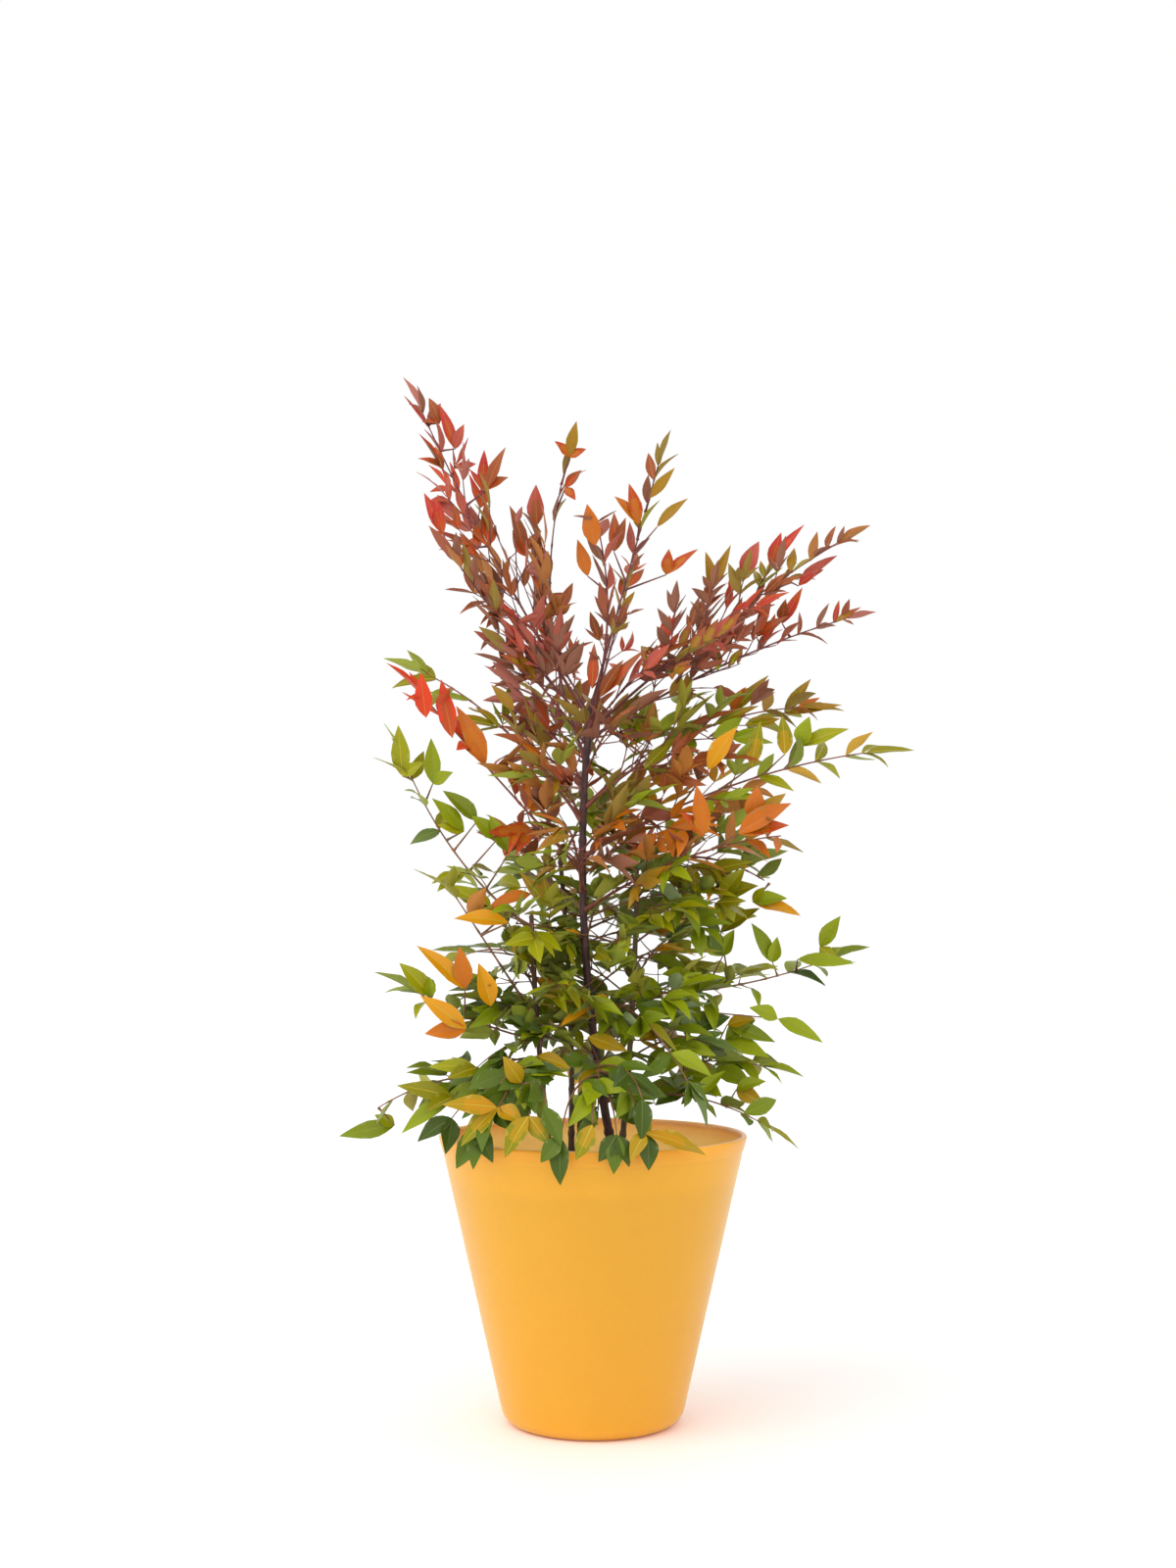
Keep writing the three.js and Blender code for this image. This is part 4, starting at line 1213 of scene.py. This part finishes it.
def make_chips():
    """Bark chips that lie on the soil, each an uneven flat lump."""
    rng = random.Random(FIRST_SEED)
    material = make_material("bark_chip", "chip", *CHIP_COLOURS)
    shape = Shape()
    for _ in range(CHIP_COUNT):
        reach = (inner_radius(SOIL_TOP) - CHIP_MARGIN) * math.sqrt(rng.random())
        turn = rng.uniform(0, 2 * math.pi)
        x, y = reach * math.cos(turn), reach * math.sin(turn)
        centre = Vector((x, y, soil_height(x, y) + CHIP_RISE))
        heading = Quaternion(UP, rng.uniform(0, math.pi))
        tilt = heading @ Quaternion((1, 0, 0), rng.uniform(-CHIP_TILT, CHIP_TILT))
        add_chip(shape, centre, tilt, rng.uniform(*CHIP_LENGTH), rng, material)
    place_piece(shape, "bark_chips", ["soil"], CHIP_CREASE)


def add_chip(shape, centre, tilt, length, rng, material):
    """One chip: a few cornered sections, pinched at both ends."""
    width = length * rng.uniform(*CHIP_WIDTH)
    height = length * rng.uniform(*CHIP_HEIGHT)
    rings = []
    for along, swell in CHIP_SECTIONS:
        ring = []
        for across, up in circle(1, CHIP_SIDES):
            y = width / 2 * swell * across * rng.uniform(*CHIP_JITTER)
            z = height / 2 * swell * up * rng.uniform(*CHIP_JITTER)
            ring.append(centre + tilt @ Vector((along * length, y, z)))
        rings.append(ring)
    start, end = [centre + tilt @ Vector((side * length / 2, 0, 0)) for side in (-1, 1)]
    shape.add_body(rings, start, end, material)


# ---------------------------------------------------------------------------------------------------------
# Canes and stalks.

def cane_curve(cane):
    foot = (*cane["foot"], SOIL_TOP)
    return Curve(foot, cane["top"], (cane["bend"], 0, 0))


def cane_point(cane, height):
    return cane_curve(cane).point((height - SOIL_TOP) / (cane["top"][2] - SOIL_TOP))


def cane_joints(name, rng):
    """Heights of the joints: one below each leaf, and scars of shed leaves between them."""
    cane = CANES[name]
    rows = [row for level in COMPOUND_LEAVES.values() for row in level if row[1] == name]
    joints = [row[2] / 1000 for row in rows]
    height = SOIL_TOP + rng.uniform(*CANE_JOINT_SPACING)
    while height < cane["top"][2]:
        if all(abs(height - joint) > CANE_JOINT_SPACING[0] / 2 for joint in joints):
            joints.append(height)
        height += rng.uniform(*CANE_JOINT_SPACING)
    return joints


def cane_radius(cane, z, x, y, joints, offset):
    """The radius of a cane at a height and in a direction: taper, root flare and the relief of its bark."""
    share = (z - SOIL_TOP) / (cane["top"][2] - SOIL_TOP)
    flare = CANE_FLARE * math.exp(-(z - SOIL_TOP) / CANE_FLARE_HEIGHT)
    relief = 1
    for scale_round, scale_along, depth in CANE_FURROWS:
        place = Vector((scale_round * x, scale_round * y, z * scale_along + offset))
        relief += depth * noise.noise(place)
    relief += CANE_RING * swelling(z, joints, CANE_RING_LENGTH)
    relief -= CANE_NOTCH * swelling(z - CANE_NOTCH_ABOVE, joints, CANE_NOTCH_LENGTH)
    return cane["radius"] * (1 - (1 - CANE_TAPER) * share + flare) * relief


def make_cane(name, seed):
    cane = CANES[name]
    rng = random.Random(seed)
    joints = cane_joints(name, rng)
    offset = rng.uniform(0, NOISE_OFFSET)
    points = cane_curve(cane).points(0, 1, CANE_STEP)
    rings = []
    for point, (side, normal) in zip(points, frames_along(points)):
        ring = []
        for x, y in circle(1, CANE_SIDES):
            corner = point + cane_radius(cane, point.z, x, y, joints, offset) * (x * side + y * normal)
            ring.append(Vector((corner.x, corner.y, max(corner.z, SOIL_TOP))))
        rings.append(ring)
    material = make_material(f"bark_{name}", "bark", *CANE_COLOURS[name])
    shape = Shape()
    shape.add_body(rings, points[0], points[-1] + UP * CANE_CAP, material)
    place_piece(shape, f"bark_{name}", [f"cane_{name}"])


def make_stalk(name, line, bare, material):
    """The bare stalk of a compound leaf, with the sheath that clasps the cane."""
    points = line.points(0, bare, STALK_STEP)
    distances = distance_along(points)
    radii = []
    for distance in distances:
        radius = tapered(STALK_RADIUS, STALK_END_RADIUS, distance, distances[-1])
        radii.append(radius + (SHEATH_RADIUS - radius) * math.exp(-((distance / SHEATH_LENGTH) ** 2)))
    shape = Shape()
    add_tube(shape, points, radii, STALK_SIDES, material)
    place_piece(shape, f"stalk_{name}", [f"bough_{name}"])


# ---------------------------------------------------------------------------------------------------------
# The plant.

def grow_inner_leaves(name, seed, crowd):
    """A group of short inner leaves on a cane, all in one pair of pieces."""
    rule = INNER_LEAVES[name]
    rng = random.Random(seed)
    shapes = (Shape(), Shape())
    for number in range(rule["count"]):
        share = (number + rng.uniform(*INNER_PLACE)) / rule["count"]
        height = rule["low"] + (rule["high"] - rule["low"]) * share
        level_name, colouring, rise, bow = next(row[1:] for row in INNER_LEVELS if height > row[0])
        level = {**LEVELS[level_name], **INNER_SHAPE}
        start = cane_point(CANES[name], height)
        turn = math.radians(rule["turn"]) + number * INNER_TURN
        way = Vector((math.cos(turn), math.sin(turn), rng.uniform(*rise))).normalized()
        line = Curve(start, start + way * rng.uniform(*rule["length"]), (0, 0, bow))
        inner = Foliage(name, level, line, 0, (colouring, colouring), seed + number, crowd, shapes)
        inner.grow()
        inner.grow_rachis()
    place_foliage(*shapes, f"inner_{name}", rule["slot"], [])


def placed_start(parent, place, hosts):
    """Where a placed spray's twig starts. The rachis of a compound leaf reaches at least that far."""
    if parent in CANES:
        return cane_point(CANES[parent], place / 1000)
    hosts[parent].reach = max(hosts[parent].reach, place)
    return hosts[parent].line.point(place)


def placed_twig(start, end, crest):
    """The line of a placed spray's twig: straight, or arched when it has a crest."""
    if not crest:
        return Curve(start, end)
    control = Vector((end[0] * ARCH_PUSH, end[1] * ARCH_PUSH, *crest))
    return Curve(start, end, (control - (start + Vector(end)) / 2) / 2)


def grow_placed_sprays(group, hosts, seed, crowd):
    """A group of placed sprays, all in one pair of pieces."""
    rule = PLACED_GROUPS[group]
    shapes = (Shape(), Shape())
    for number, (parent, place, end, colouring, tips, *crest) in enumerate(PLACED_SPRAYS[group]):
        line = placed_twig(placed_start(parent, place, hosts), metres(end), metres(crest))
        colourings = (PLACED_INNER, colouring)
        spray = Foliage(group, LEVELS[rule["level"]], line, 0, colourings, seed + number, crowd, shapes)
        shares = PLACED_PAIRS if crest else ()
        joints = [share * spray.length for share in shares] + [0]
        add_limb(spray.twigs, line, 0, 1, STALK_END_RADIUS, RACHIS_END_RADIUS, joints, spray.twig_material)
        spray.keeps_gaps = False
        for tip in tips:
            spray.grow_placed_leaf(Vector(metres(tip)))
        spray.keeps_gaps = True
        for pair, share in enumerate(shares):
            normal = spray.twisted_frame(share, pair)[1]
            spray.grow_pair(line, share, normal, LEAF_SCALE, spray.spray_tints(False))
    place_foliage(*shapes, group, rule["slot"], [])


def make_plant():
    """Stalks, placed sprays, the foliage of every compound leaf, and the inner leaves, in that order."""
    crowd = Crowd(LEAF_CLEARANCE)
    hosts = {}
    for level_name, rows in COMPOUND_LEAVES.items():
        has_bough = level_name != LEVEL_WITHOUT_BOUGHS
        for name, cane_name, height, tip, bow, inner, outer in rows:
            level = {**LEVELS[level_name], **CHANGES.get(name, {})}
            line = Curve(cane_point(CANES[cane_name], height / 1000), metres(tip), metres(bow))
            from_share = level["bare"] if has_bough else 0
            mass = Foliage(name, level, line, from_share, (inner, outer), FIRST_SEED + len(hosts), crowd)
            if has_bough:
                make_stalk(name, line, level["bare"], mass.twig_material)
            hosts[name] = mass
    for number, group in enumerate(PLACED_SPRAYS):
        grow_placed_sprays(group, hosts, FIRST_SEED + PLACED_SEED_STEP * (number + 1), crowd)
    for mass in hosts.values():
        mass.grow()
        mass.grow_rachis()
    for name, mass in hosts.items():
        place_foliage(mass.leaves, mass.twigs, name, mass.level["slot"], [f"foliage_{name}"])
    for number, name in enumerate(INNER_LEAVES):
        grow_inner_leaves(name, FIRST_SEED + INNER_SEED_STEP * (number + 1), crowd)


# ---------------------------------------------------------------------------------------------------------
# Stage: a pale floor, soft light and the camera.

CAMERA_PITCH = math.radians(3.776)
CAMERA_LENS = 45
FLOOR_SIZE = 40
FLOOR_CREASE = 180
SUNS = {
    "key": {"way": (-0.85, -0.7, 1.1), "strength": 0.8, "angle": 50},
    "fill": {"way": (0.3, -1.0, 0.32), "strength": 0.6, "angle": 40},
}
SOFT_BOX = {"name": "left", "place": (-1.3, -0.45, 0.3), "size": (0.4, 0.6), "power": 2}


def make_floor():
    half = FLOOR_SIZE / 2
    plan = ((-half, -half), (half, -half), (half, half), (-half, half))
    shape = Shape()
    corners = shape.add_vertices([Vector((x, y, 0)) for x, y in plan])
    shape.add_face(corners, make_material("pale_floor", "floor", *FLOOR_COLOURS))
    shape.piece("floor", FLOOR_CREASE)


def facing(way):
    """The rotation of a light that shines from a direction."""
    return Vector(way).to_track_quat("Z", "Y").to_euler()


def make_sun(name, way, strength, angle):
    """A soft distant light that comes from a direction."""
    light = bpy.data.lights.new(name, "SUN")
    light.energy = strength
    light.angle = math.radians(angle)
    add_object(name, light).rotation_euler = facing(way)


def make_soft_box(name, place, size, power):
    """A soft box at a place, which faces the plant and is level."""
    light = bpy.data.lights.new(name, "AREA")
    light.shape = "RECTANGLE"
    light.size, light.size_y = size
    light.energy = power
    box = add_object(name, light)
    box.location = place
    box.rotation_euler = facing((place[0], place[1], 0))


def make_world():
    """Even white light from all round."""
    world = bpy.data.worlds.new("white_studio")
    world.use_nodes = True
    world.node_tree.nodes["Background"].inputs["Color"].default_value = (1, 1, 1, 1)
    bpy.context.scene.world = world


def make_camera():
    lens = bpy.data.cameras.new("camera")
    lens.lens = CAMERA_LENS
    camera = add_object("camera", lens)
    camera.location = CAMERA_PLACE
    camera.rotation_euler = (math.pi / 2 + CAMERA_PITCH, 0, 0)
    bpy.context.scene.camera = camera


def make_stage():
    make_floor()
    make_world()
    for name, sun in SUNS.items():
        make_sun(name, **sun)
    make_soft_box(**SOFT_BOX)
    make_camera()
    bpy.context.scene.view_settings.view_transform = "Standard"


make_stage()
make_pot()
make_soil()
make_chips()
for number, cane_name in enumerate(CANES):
    make_cane(cane_name, FIRST_SEED + number)
make_plant()
